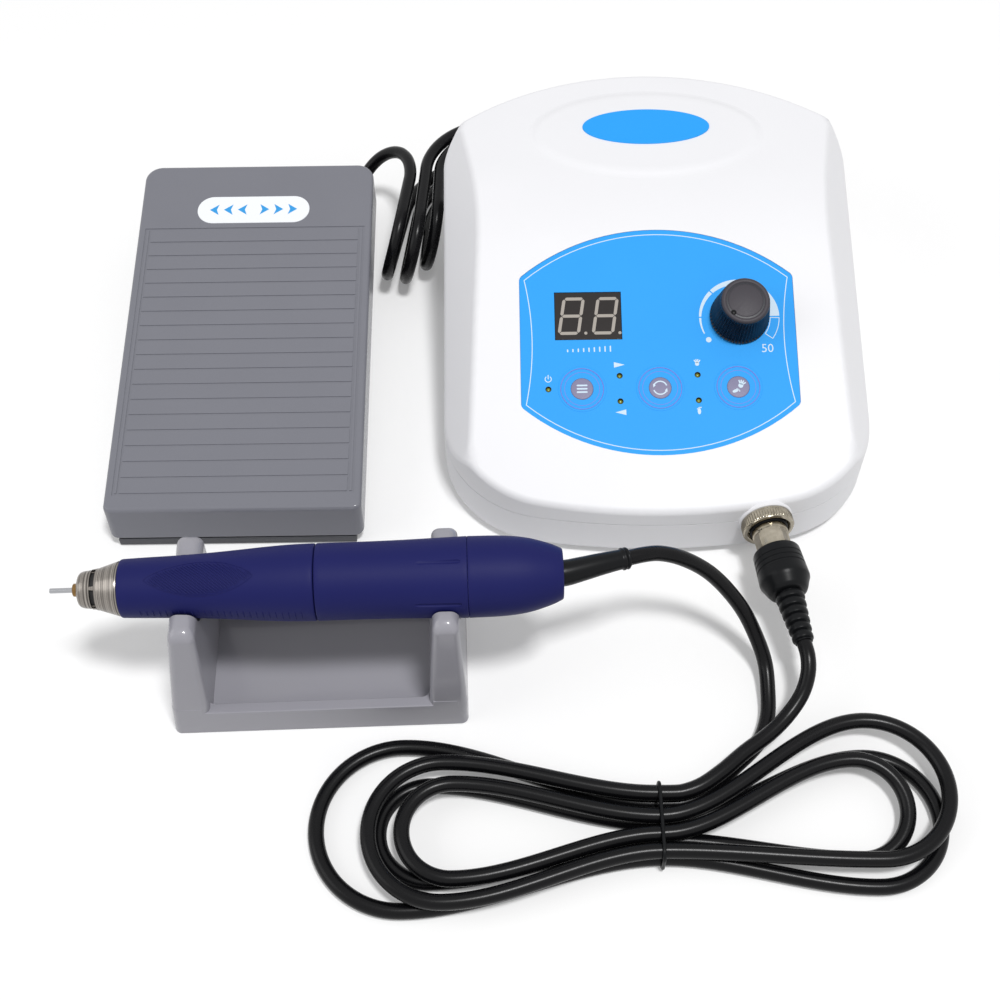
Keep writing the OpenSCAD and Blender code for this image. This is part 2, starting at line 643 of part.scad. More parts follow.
// handpiece outline: distance from the nose face and radius
sleeve_front = [[nose_length + 0.2, sleeve_nose - 0.4], [nose_length + 0.8, sleeve_nose],
    [front_end - 55, sleeve_nose + 0.3], [front_end - 45, sleeve_nose + 0.6],
    [front_end - 35, sleeve_nose + 1.1], [front_end - 25, sleeve_joint - 1.3],
    [front_end - 16, sleeve_joint - 0.6], [front_end - 8, sleeve_joint - 0.15],
    [front_end - 0.6, sleeve_joint], [front_end, sleeve_joint - 0.5]];
sleeve_rear = [[front_end + 0.5, sleeve_joint - 0.5], [front_end + 1.1, sleeve_joint],
    [front_end + 14, sleeve_waist], [front_end + 28, sleeve_waist + 0.15],
    [rear_end - 10, sleeve_swell - 0.25], [rear_end - 0.5, sleeve_swell], [rear_end, sleeve_swell - 0.3]];
sleeve_tail = [[rear_end + 0.1, sleeve_swell - 0.3], [rear_end + 0.6, sleeve_swell],
    [tail_end - 20, sleeve_swell - 0.2], [tail_end - 14, sleeve_swell - 0.75],
    [tail_end - 10, sleeve_swell - 1.5], [tail_end - 6.5, sleeve_swell - 2.5],
    [tail_end - 3, sleeve_swell - 3.7], [tail_end - 0.4, tail_radius], [tail_end, tail_radius - 0.4]];
function turned(l) = [for (p = l) [p[1], p[0]]];
spindle_r = spindle_dia / 2;
snout_r = snout_dia / 2;
case_r = case_dia / 2;
module front_sleeve() color("#2b2c74") on_axis() rotate_extrude() polygon(concat(turned(sleeve_front),
    [[snout_r + sleeve_fit, front_end], [snout_r + sleeve_fit, nose_length + 0.2]]));
groove_side = 215;
module rear_sleeve() color("#2b2c74") on_axis() difference() {
    rotate_extrude() polygon(concat(turned(sleeve_rear), [[case_r + 0.1, rear_end],
        [case_r + 0.1, front_end + 0.5]]));
    for (s = [-1, 1]) rotate([0, 0, groove_side + s * 31]) translate([sleeve_swell + 0.2, 0, rear_end - 18])
        cylinder(d = 1.6, h = 16, $fn = 24);
}
module tail_cap() color("#2b2c74") on_axis() difference() {
    rotate_extrude() polygon(concat([[0, rear_end + 0.1]], turned(sleeve_tail), [[0, tail_end]]));
    translate([0, 0, rear_end - 1]) cylinder(d = case_dia + 0.3, h = 8);
    translate([0, 0, rear_end - 1]) cylinder(d = 14, h = tail_end - rear_end - 11);
    translate([0, 0, rear_end]) cylinder(d = 9, h = 60);
}
window_floor = 4.3;
window_half = 4.2;
module nose_cone() color("#b8b4a8") on_axis() difference() {
    rotate_extrude() polygon([[spindle_r + 0.5, 0], [4.6, 0], [5.6, 0.7], [6.1, 1.8], [6.4, 4.2], [7, 6.8],
        [sleeve_nose - 0.6, nose_length - 0.5], [sleeve_nose - 0.7, nose_length],
        [snout_r - 1.5, nose_length], [snout_r - 1.9, nose_length - 3],
        [spindle_r + 0.5, nose_length - 8]]);
    for (k = [0:2]) rotate([0, 0, 120 * k + 95]) translate([window_floor, -window_half, 4.5])
        cube([8, 2 * window_half, 1.9]);
}
module motor_case() color("#8f9297") on_axis() difference() {
    union() {
        translate([0, 0, nose_length + 2]) cylinder(r = snout_r, h = front_end + 2 - nose_length - 2);
        translate([0, 0, front_end + 0.6]) cylinder(r = case_r, h = rear_end + 6 - front_end - 0.6);
    }
    translate([0, 0, nose_length]) cylinder(r = 5.1, h = 46);
    translate([0, 0, 0]) cylinder(r = spindle_r + 0.6, h = 120);
    translate([0, 0, front_end + 3]) cylinder(r = case_r - 1.3, h = 200);
}
module bearings() color("#aeb2b8") on_axis() {
    for (a = [nose_length + 8, front_end - 29]) translate([0, 0, a]) difference() {
        cylinder(r = 5.05, h = 6);
        translate([0, 0, -1]) cylinder(r = spindle_r + spindle_fit, h = 9);
    }
    translate([0, 0, rear_end - 4]) difference() {
        cylinder(r = case_r - 1.4, h = 5);
        translate([0, 0, -1]) cylinder(r = 2 + spindle_fit, h = 9);
    }
}
module magnets() color("#4a4b50") on_axis() difference() {
    translate([0, 0, front_end + 8]) cylinder(r = case_r - 1.4, h = 29);
    translate([0, 0, 80]) cylinder(r = rotor_dia / 2 + 0.6, h = 60);
    translate([-20, -1, 80]) cube([40, 2, 60]);
}
module brushes() color("#2a2a2c") on_axis() for (s = [-1, 1])
    translate([s * (4.4 + 2.2) - 2.2, -1.6, rear_end - 13.6]) cube([4.4, 3.2, 4.6]);
module spindle() color("#c9ccd0") on_axis() difference() {
    union() {
        translate([0, 0, 1.2]) cylinder(r = spindle_r, h = rear_end - 16 - 1.2);
        translate([0, 0, rear_end - 17]) cylinder(r = 2, h = 18);
    }
    translate([0, 0, 0]) cylinder(d = 4.6, h = 16);
}
grip_dia = shank_dia - 0.6;
module collet() color("#9a9ca0") on_axis() difference() {
    translate([0, 0, 0.4]) cylinder(d = 4.56, h = 15);
    translate([0, 0, -1]) cylinder(d = grip_dia + 0.03, h = 20);
}
module tool_shank() color("#d3d6da") on_axis() rotate_extrude()
    polygon([[0, -shank_reach], [shank_dia / 2 - 0.3, -shank_reach],
    [shank_dia / 2, -shank_reach + 0.4], [shank_dia / 2, 0], [grip_dia / 2, 0], [grip_dia / 2, 14.4],
    [0, 14.4]]);
module rotor() color("#7b5a3c") on_axis() difference() {
    translate([0, 0, front_end + 10]) cylinder(d = rotor_dia, h = 25);
    translate([0, 0, 80]) cylinder(r = spindle_r + 0.02, h = 50);
}
module commutator() color("#b87f4a") on_axis() difference() {
    translate([0, 0, rear_end - 14.6]) cylinder(r = 4.1, h = 6.4);
    translate([0, 0, 110]) cylinder(r = 2.02, h = 30);
}

// cradle
post_half = cradle_depth / 2 - 0.3;
post_round = post_top / 2 - 0.4;
module post_pair(x, lean) translate([x, 0, 0]) rotate([0, lean, 0]) intersection() {
    translate([-post_foot / 2, 0, 0]) rotate([90, 0, 90]) linear_extrude(post_foot)
        polygon(concat([[-post_half, 1], [post_half, 1], [post_half, rail_height * 0.6]],
        arc(post_half - 8.2, post_height - 4.2, 4.2, 10, 90, 6),
        arc(-post_half + 8.2, post_height - 4.2, 4.2, 90, 170, 6), [[-post_half, rail_height * 0.6]]));
    translate([0, cradle_depth / 2, 0]) rotate([90, 0, 0]) linear_extrude(cradle_depth)
        polygon(concat([[-post_foot / 2, 0], [post_foot / 2, 0], [post_foot / 2, rail_height * 0.8]],
        arc(post_top / 2 - post_round, post_height - post_round, post_round, 0, 90, 6),
        arc(-post_top / 2 + post_round, post_height - post_round, post_round, 90, 180, 6),
        [[-post_foot / 2, rail_height * 0.8]]));
}
module rest(x0, x1, r) translate([x0, 0, axis_height]) rotate([0, 90, 0]) {
    cylinder(r = r + rest_gap, h = x1 - x0);
    translate([-60, -r - rest_gap, 0]) cube([60, 2 * (r + rest_gap), x1 - x0]);
}
module handpiece_cradle() color("#a3a4ac") at_cradle() difference() {
    union() {
        linear_extrude(rail_height) polygon(rrect(cradle_length, cradle_depth, 4));
        post_pair(-cradle_length / 2 + post_foot / 2 + 0.3, nose_post_lean);
        post_pair(cradle_length / 2 - post_foot / 2 - 0.3, -tail_post_lean);
    }
    translate([0, 0, tray_floor]) linear_extrude(rail_height - tray_floor + 1)
        polygon(rrect(cradle_length - 26, cradle_depth - 2 * rail_thick, 3));
    rest(-90, 0, sleeve_nose + 1.5);
    rest(0, 90, sleeve_swell);
}

// pedal
toe = 3.4;
heel = 7;
module cover_outline(i) polygon(concat(arc(pedal_width / 2 - toe, toe, toe - i, -90, 0, 6),
    arc(pedal_width / 2 - heel, pedal_length - heel, heel - i, 0, 90, 8),
    arc(-pedal_width / 2 + heel, pedal_length - heel, heel - i, 90, 180, 8),
    arc(-pedal_width / 2 + toe, toe, toe - i, 180, 270, 6)));
cover_top = cover_clear + cover_height;
cover_under = cover_top - 2.6;
ear_x = 36;
module pedal_cover() color("#6d6f78") at_cover() difference() {
    union() {
        difference() {
            translate([0, 0, cover_clear]) linear_extrude(cover_height) cover_outline(0);
            translate([0, 0, cover_clear - 1]) linear_extrude(cover_height - 2.6 + 1)
                cover_outline(cover_wall);
        }
        for (s = [-1, 1]) translate([s * ear_x - 2, hinge_y - 4, hinge_z - 3.8])
            cube([4, 8, cover_under - hinge_z + 3.8 + eps]);
    }
    for (k = [0:tread_count - 1]) translate([-pedal_width / 2 + 5, tread_start + k * tread_pitch,
        cover_top - tread_depth])
        cube([pedal_width - 10, tread_width, 5]);
    for (s = [-1, 1]) translate([s * (pedal_width / 2 - 5) - tread_width / 2, tread_start,
        cover_top - tread_depth])
        cube([tread_width, (tread_count - 1) * tread_pitch + tread_width, 5]);
    translate([-80, hinge_y, hinge_z]) rotate([0, 90, 0]) cylinder(d = hinge_dia + 2 * hinge_fit, h = 160);
    translate([gland_x - 7, pedal_length - 6, 0]) cube([14, 20, cover_clear + 11]);
}
gland_x = 37;
base_y0 = 7;
base_y1 = pedal_length - 8.5;
pedal_foot_spots = [[-34, 24], [34, 24], [-34, base_y1 - 13], [34, base_y1 - 13]];
base_half = pedal_width / 2 - 5.4;
module pedal_base() color("#3c3e44") at_pedal() difference() {
    union() {
        translate([-base_half, base_y0, pedal_foot]) cube([2 * base_half, base_y1 - base_y0, 2.4]);
        difference() {
            translate([-base_half, base_y0 + 16, pedal_foot])
                cube([2 * base_half, base_y1 - base_y0 - 16, 8.4]);
            translate([-base_half + 2, base_y0, pedal_foot + 1])
                cube([2 * base_half - 4, base_y1 - base_y0 - 2, 30]);
        }
        for (s = [-1, 1]) translate([s * (ear_x - 7) - 2.5, hinge_y - 4.5, pedal_foot])
            cube([5, 9, hinge_z + 3.6 - pedal_foot]);
        translate([gland_x, base_y1 - 3, pedal_foot + 4.6]) rotate([-90, 0, 0]) cylinder(d = 9, h = 5);
        translate([0, spring_y, pedal_foot + 2]) cylinder(d = spring_dia - spring_wire - 1, h = 5);
    }
    translate([-80, hinge_y, hinge_z]) rotate([0, 90, 0]) cylinder(d = hinge_dia + 0.02, h = 160);
    translate([gland_x, base_y1 - 6, pedal_foot + 4.6]) rotate([-90, 0, 0])
        cylinder(d = foot_cord_dia, h = 6);
}
module pedal_hinge_pin() color("#b4b7bb") at_pedal() translate([-ear_x - 4, hinge_y, hinge_z])
    rotate([0, 90, 0])
    cylinder(d = hinge_dia, h = 2 * ear_x + 8);
// height of the cover's underside over the floor, at rest
function under(y) = hinge_z + (y - hinge_y) * tan(pedal_angle) + (cover_under - hinge_z) / cos(pedal_angle);
switch_high = 10;
module pedal_switch() color("#26272b") at_pedal() difference() {
    translate([-10, switch_y - 4, pedal_foot + 2.4]) cube([20, 8, switch_high]);
    translate([0, switch_y, pedal_foot + 4.4]) cylinder(d = 4.4, h = 40, $fn = 32);
}
module pedal_plunger() color("#c7472f") at_pedal() translate([0, switch_y, pedal_foot + 8.4])
    cylinder(d = 3.8, h = under(switch_y - 2) - 0.35 - pedal_foot - 8.4, $fn = 32);
label_width = 46;
label_depth = 13.2;
label_y = pedal_length - 23.8;
module pedal_label() color("#f2f4f7") at_cover() translate([0, label_y, cover_top]) linear_extrude(0.3)
    polygon(rrect(label_width, label_depth, label_depth / 2 - 0.1));

// swept tubes: rings of n points square to the route, with capped ends
function unit(v) = v / max(norm(v), 1e-9);
function dirs(p) = [for (i = [0:len(p) - 1]) unit(i == 0 ? p[1] - p[0] : i == len(p) - 1 ? p[i] - p[i - 1]
    : unit(p[i + 1] - p[i]) + unit(p[i] - p[i - 1]))];
function sides(d) = [for (t = d) abs(t[2]) > 0.93 ? unit(cross(t, [0, 1, 0])) : unit(cross(t, [0, 0, 1]))];
function ring_points(p, r, n) = let (d = dirs(p), s = sides(d)) [for (i = [0:len(p) - 1], k = [0:n - 1])
    let (u = cross(s[i], d[i]), a = 360 * (k + 0.5) / n, q = is_list(r) ? r[i] : r)
        p[i] + q * (s[i] * cos(a) + u * sin(a))];
module tube(p, r, n) polyhedron(points = concat(ring_points(p, r, n), [p[0], p[len(p) - 1]]),
    faces = let (m = len(p), c = m * n) concat(
    [for (i = [0:m - 2], k = [0:n - 1], e = [0, 1]) let (b = (k + 1) % n)
        e == 0 ? [i * n + k, (i + 1) * n + k, (i + 1) * n + b] : [i * n + k, (i + 1) * n + b, i * n + b]],
    [for (k = [0:n - 1]) [c, k, (k + 1) % n]], [for (k = [0:n - 1]) [c + 1, (m - 1) * n + (k + 1) % n,
        (m - 1) * n + k]]));
function length_of(p) = len(p) < 2 ? 0 : norm(p[1] - p[0]) + length_of([for (i = [1:len(p) - 1]) p[i]]);

// hanks: each fold runs out from the waist, turns in a half circle and runs back, by turns on either side
function smooth(u) = u * u * (3 - 2 * u);
fold_out = 0.28;
function fold(f, w0, w1, n) = let (d = len(f) > 5 ? f[5] : f[2], run = f[1] - d) [for (k = [1:n])
    let (u = k / n,
    z = w0[1] + (w1[1] - w0[1]) * smooth(min(max((u - fold_out) / (1 - 2 * fold_out), 0), 1)),
    b = 90 - 180 * (u - fold_out) / (1 - 2 * fold_out), t = min(u, 1 - u) / fold_out,
    w = u < 0.5 ? w0[0] : w1[0], e = u < 0.5 ? f[3] + f[4] * f[2] : f[3] - f[4] * f[2])
    t <= 1 ? [f[0] * run * t, w + (e - w) * smooth(t), z] : [f[0] * (run + d * cos(b)),
        f[3] + f[4] * f[2] * sin(b), z]];
function hank(f, w, stub, n) = concat([[-f[0][0] * stub, w[0][0], w[0][1]], [0, w[0][0], w[0][1]]],
    [for (j = [0:len(f) - 1]) each fold(f[j], w[j], w[j + 1], n)],
    [[-f[len(f) - 1][0] * stub, w[len(f)][0], w[len(f)][1]]]);
function least_gap(p, skip) = min([for (i = [0:len(p) - 1 - skip], j = [i + skip:len(p) - 1])
    norm(p[i] - p[j])]);
fold_steps = 18;

// handpiece cord: side, reach, half width, shift and sense of each fold, and its depth if not round
cord_step = cord_dia + 0.6;
low = cord_dia / 2 + 0.1;
high = low + cord_dia + 0.7;
motor_folds = [[-1, 115, 29, 3, 1], [1, 94, 23, 3, -1], [-1, 94, 17, 0.5, 1], [1, 83, 16.5, 6, -1],
    [-1, 86, 16.6, -1, -1], [1, 97, 25, 12, 1], [-1, 97, 24.4, -1, -1]];
motor_slots = [for (s = [[1.68, 0], [-1.5, 0], [0.5, 0], [-0.5, 0], [-0.5, 1], [0.54, 1], [-1.5, 1],
    [1.88, 1]])
    [s[0] * cord_step, s[1] == 0 ? low : high]];
motor_tie = [57.5, -170];
join_gap = 0.15;
tie_shift = 1.1;
motor_hank = [for (q = hank(motor_folds, motor_slots, 6, fold_steps)) [motor_tie[0] + q[0],
    motor_tie[1] + q[1], q[2]]];
boot_end = [48, -95, 55.3];
boot_run = [0.932, 0.322, -0.168];
motor_lead = [boot_end + 0.4 * boot_run, boot_end + 6 * boot_run, [59, -91.2, 52], [67, -90.4, 47.6],
    [78, -91, 38], [89, -96, 25], [95, -102, 15],
    [98.5, -109, 8],
    [99, -118.5, 4.5], [98, -128, low], [94, -137.5, low], [85, -146.6, low], [76, -154.4, low],
    [70, -158.3, low], motor_hank[0] + [1.9, 0.15, 0], motor_hank[0] + [join_gap, 0, 0]];
motor_back = motor_hank[len(motor_hank) - 1];
plug_end = [box_x + socket_x + relief_reach * socket_x / front_radius,
    box_y + front_at(socket_x) - relief_reach * sqrt(1 - pow(socket_x / front_radius, 2)), socket_z];
plug_lead = [plug_end, plug_end + [0.7, -5, -0.4], [111.2, -118.4, 17.4], [109, -124.5, 13.8],
    [104, -131, 11],
    [97, -137.6, 9.8], [87.5, -144.6, 9.6], [79, -151.6, 9.5],
    [71.5, -156.5, 9.2], motor_back + [2.1, 0.25, 0], motor_back + [join_gap, 0, 0]];
boot_path = [[15.4, -102.18, 57], [20, -102.07, 57], [26.4, -101.7, 57], [32, -100.2, 56.9],
    [38, -98.3, 56.6], [43.5, -96.5, 56], boot_end];
boot_radii = [4.3, 4.3, 4.3, 4.1, 3.9, 3.7, 3.6];
module cord_boot() color("#18191b") tube(boot_path, boot_radii, 12);
module handpiece_cord() color("#141416") tube(motor_lead, cord_dia / 2, 8);
module handpiece_hank() color("#141416") tube(motor_hank, cord_dia / 2, 6);
module plug_cord() color("#141416") tube(plug_lead, cord_dia / 2, 8);

// pedal cord: an oval coil that leans on the box and bends round its rear corner
foot_step = foot_cord_dia + 0.7;
foot_lean = 80;
foot_half = 15.7;
foot_folds = [[1, 28, foot_half, 0, 1], [-1, 62, foot_half, 0, -1], [1, 28, foot_half, 0, 1],
    [-1, 60, foot_half, 0, -1], [1, 18, foot_half, 0, 1]];
foot_slots = [for (k = [0:5]) [k % 2 == 0 ? foot_half : -foot_half, (2 - floor(k / 2)) * foot_step]];
foot_stub = 6;
foot_flat = hank(foot_folds, foot_slots, foot_stub, fold_steps);
foot_line = -20.8;
foot_turn = 118;
foot_slant = 10;
foot_waist = -18;
foot_radius = 27;
foot_fan = 0.0085;
foot_edge = -foot_half * cos(foot_lean) - 2 * foot_step * sin(foot_lean);

// the coil fans out ahead of its turn (s < 0) and bends behind it until it runs across the set
function fanned(s, y) = foot_edge + (y - foot_edge) * (1 + foot_fan * max(-s, 0));
function bent(s, y) = let (b = 90 - foot_slant, a = min(max(s, 0) / foot_radius * 180 / PI, b),
    e = max(s - foot_radius * b * PI / 180, 0) + min(s, 0), r = foot_radius - y,
    u = foot_radius - r * cos(a) + e * sin(a), v = r * sin(a) + e * cos(a))
    [foot_line + u * cos(foot_slant) + v * sin(foot_slant),
    foot_turn - u * sin(foot_slant) + v * cos(foot_slant)];
foot_hank = [for (q = foot_flat) let (s = foot_waist - q[0],
    y = q[1] * cos(foot_lean) - q[2] * sin(foot_lean),
    z = q[1] * sin(foot_lean) + q[2] * cos(foot_lean),
    p = bent(s, fanned(s, y))) [p[0], p[1], z + foot_half * sin(foot_lean) + foot_cord_dia / 2 + 0.1]];
foot_last = len(foot_hank) - 1;
foot_in = unit(foot_hank[0] - foot_hank[1]);
foot_out = unit(foot_hank[foot_last] - foot_hank[foot_last - 1]);
gland_end = [pedal_x + gland_x, pedal_y + base_y1 + 2, pedal_foot + 4.6];
foot_lead = [gland_end, gland_end + [0, 5.4, 0.5], [-56.4, 122.2, 10.2], [-54.2, 127.2, 15.2],
    [-50.4, 130.8, 20.8], [-45.4, 132.2, 26.2], [-40.2, 130.9, 30.7], [-35.6, 127.4, 33.8],
    [-32.4, 122.2, 35.3], [-30.9, 116.4, 35.7],
    foot_hank[0] + 3 * foot_in, foot_hank[0] + join_gap * foot_in];
jack_end = [box_x + jack_x, box_y + rear_plate_face + 36, rear_mid];
jack_lead = [foot_hank[foot_last] + join_gap * foot_out, foot_hank[foot_last] + 2 * foot_out,
    [-24.5, 112.6, 2.7], [-23, 120.6, 2.7], [-19.6, 128.7, 2.7], [-14, 135.5, 2.7], [-6.7, 140.3, 2.7],
    [0.6, 142.5, 2.7], [8, 143.2, 2.7], [18, 144.6, 2.8], [30, 148, 3.2], [43, 153.8, 5],
    [56.4, 161, 9], [69.4, 167.6, 14], [80.4, 171, 18.6], [89.4, 170.8, 22.6], [95.8, 167, 25.2],
    [99, 160.6, 26.7], jack_end + [0, 3.6, 0], jack_end];
module pedal_cord() color("#161618") tube(foot_lead, foot_cord_dia / 2, 8);
module pedal_hank() color("#161618") tube(foot_hank, foot_cord_dia / 2, 6);
module jack_cord() color("#161618") tube(jack_lead, foot_cord_dia / 2, 8);
module jack_plug() color("#1a1b1d") translate([box_x + jack_x, box_y + rear_plate_face, rear_mid])
    rotate([-90, 0, 0]) {
    translate([0, 0, -9]) cylinder(d = 3.5, h = 14, $fn = 32);
    rotate_extrude() polygon([[0, 3.2], [4.6, 3.2], [5, 3.8], [5, 20], [4.2, 24], [3.6, 36], [0, 36]]);
}
module cord_tie() color("#101012") {
    translate([motor_tie[0] - 1, motor_tie[1], 0]) rotate([90, 0, 90]) linear_extrude(2) difference() {
        translate([tie_shift, high / 2 + 1.6]) polygon(rrect(4 * cord_step + 4.8, high + 3.2, 3.9));
        translate([tie_shift, high / 2 + 1.45]) polygon(rrect(4 * cord_step + 2.2, high + 2.7, 2.6));
    }
}
echo(handpiece_hank_gap = least_gap(motor_hank, 8) - cord_dia,
    pedal_hank_gap = least_gap(foot_hank, 8) - foot_cord_dia);
echo(handpiece_cord_length = length_of(motor_lead) + length_of(motor_hank) + length_of(plug_lead),
    pedal_cord_length = length_of(foot_lead) + length_of(foot_hank) + length_of(jack_lead));

// pedal return spring
spring_low = pedal_foot + 2.4 + spring_wire / 2;
spring_high = under(spring_y - spring_dia / 2) - spring_wire / 2 - 0.3;
spring_route = [for (k = [0:spring_coils * 14]) let (a = 360 * k / 14) [pedal_x + spring_dia / 2 * cos(a),
    pedal_y + spring_y + spring_dia / 2 * sin(a),
    spring_low + (spring_high - spring_low) * k / (spring_coils * 14)]];
module pedal_spring() color("#b9bcc0") tube(spring_route, spring_wire / 2, 6);

top_shell();
bottom_shell();
panel_overlay();
badge_plate();
display_body();
panel_board();
tact_switches();
indicator_lamps();
pot_body();
control_board();
transformer_core();
transformer_coil();
motor_socket();
socket_ring();
rear_plate();
mains_inlet();
inlet_pins();
switch_frame();
pedal_socket();
rubber_feet();
box_screws();
speed_knob();
pot_shaft();
mode_button();
direction_button();
hand_foot_button();
switch_rocker();
rear_sleeve();
tail_cap();
motor_case();
magnets();
brushes();
bearings();
cord_boot();
nose_cone();
front_sleeve();
spindle();
rotor();
commutator();
collet();
tool_shank();
handpiece_cradle();
pedal_base();
pedal_cover();
pedal_hinge_pin();
pedal_spring();
pedal_switch();
pedal_plunger();
pedal_label();
plug_barrel();
plug_body();
handpiece_cord();
handpiece_hank();
plug_cord();
pedal_cord();
pedal_hank();
jack_cord();
jack_plug();
cord_tie();
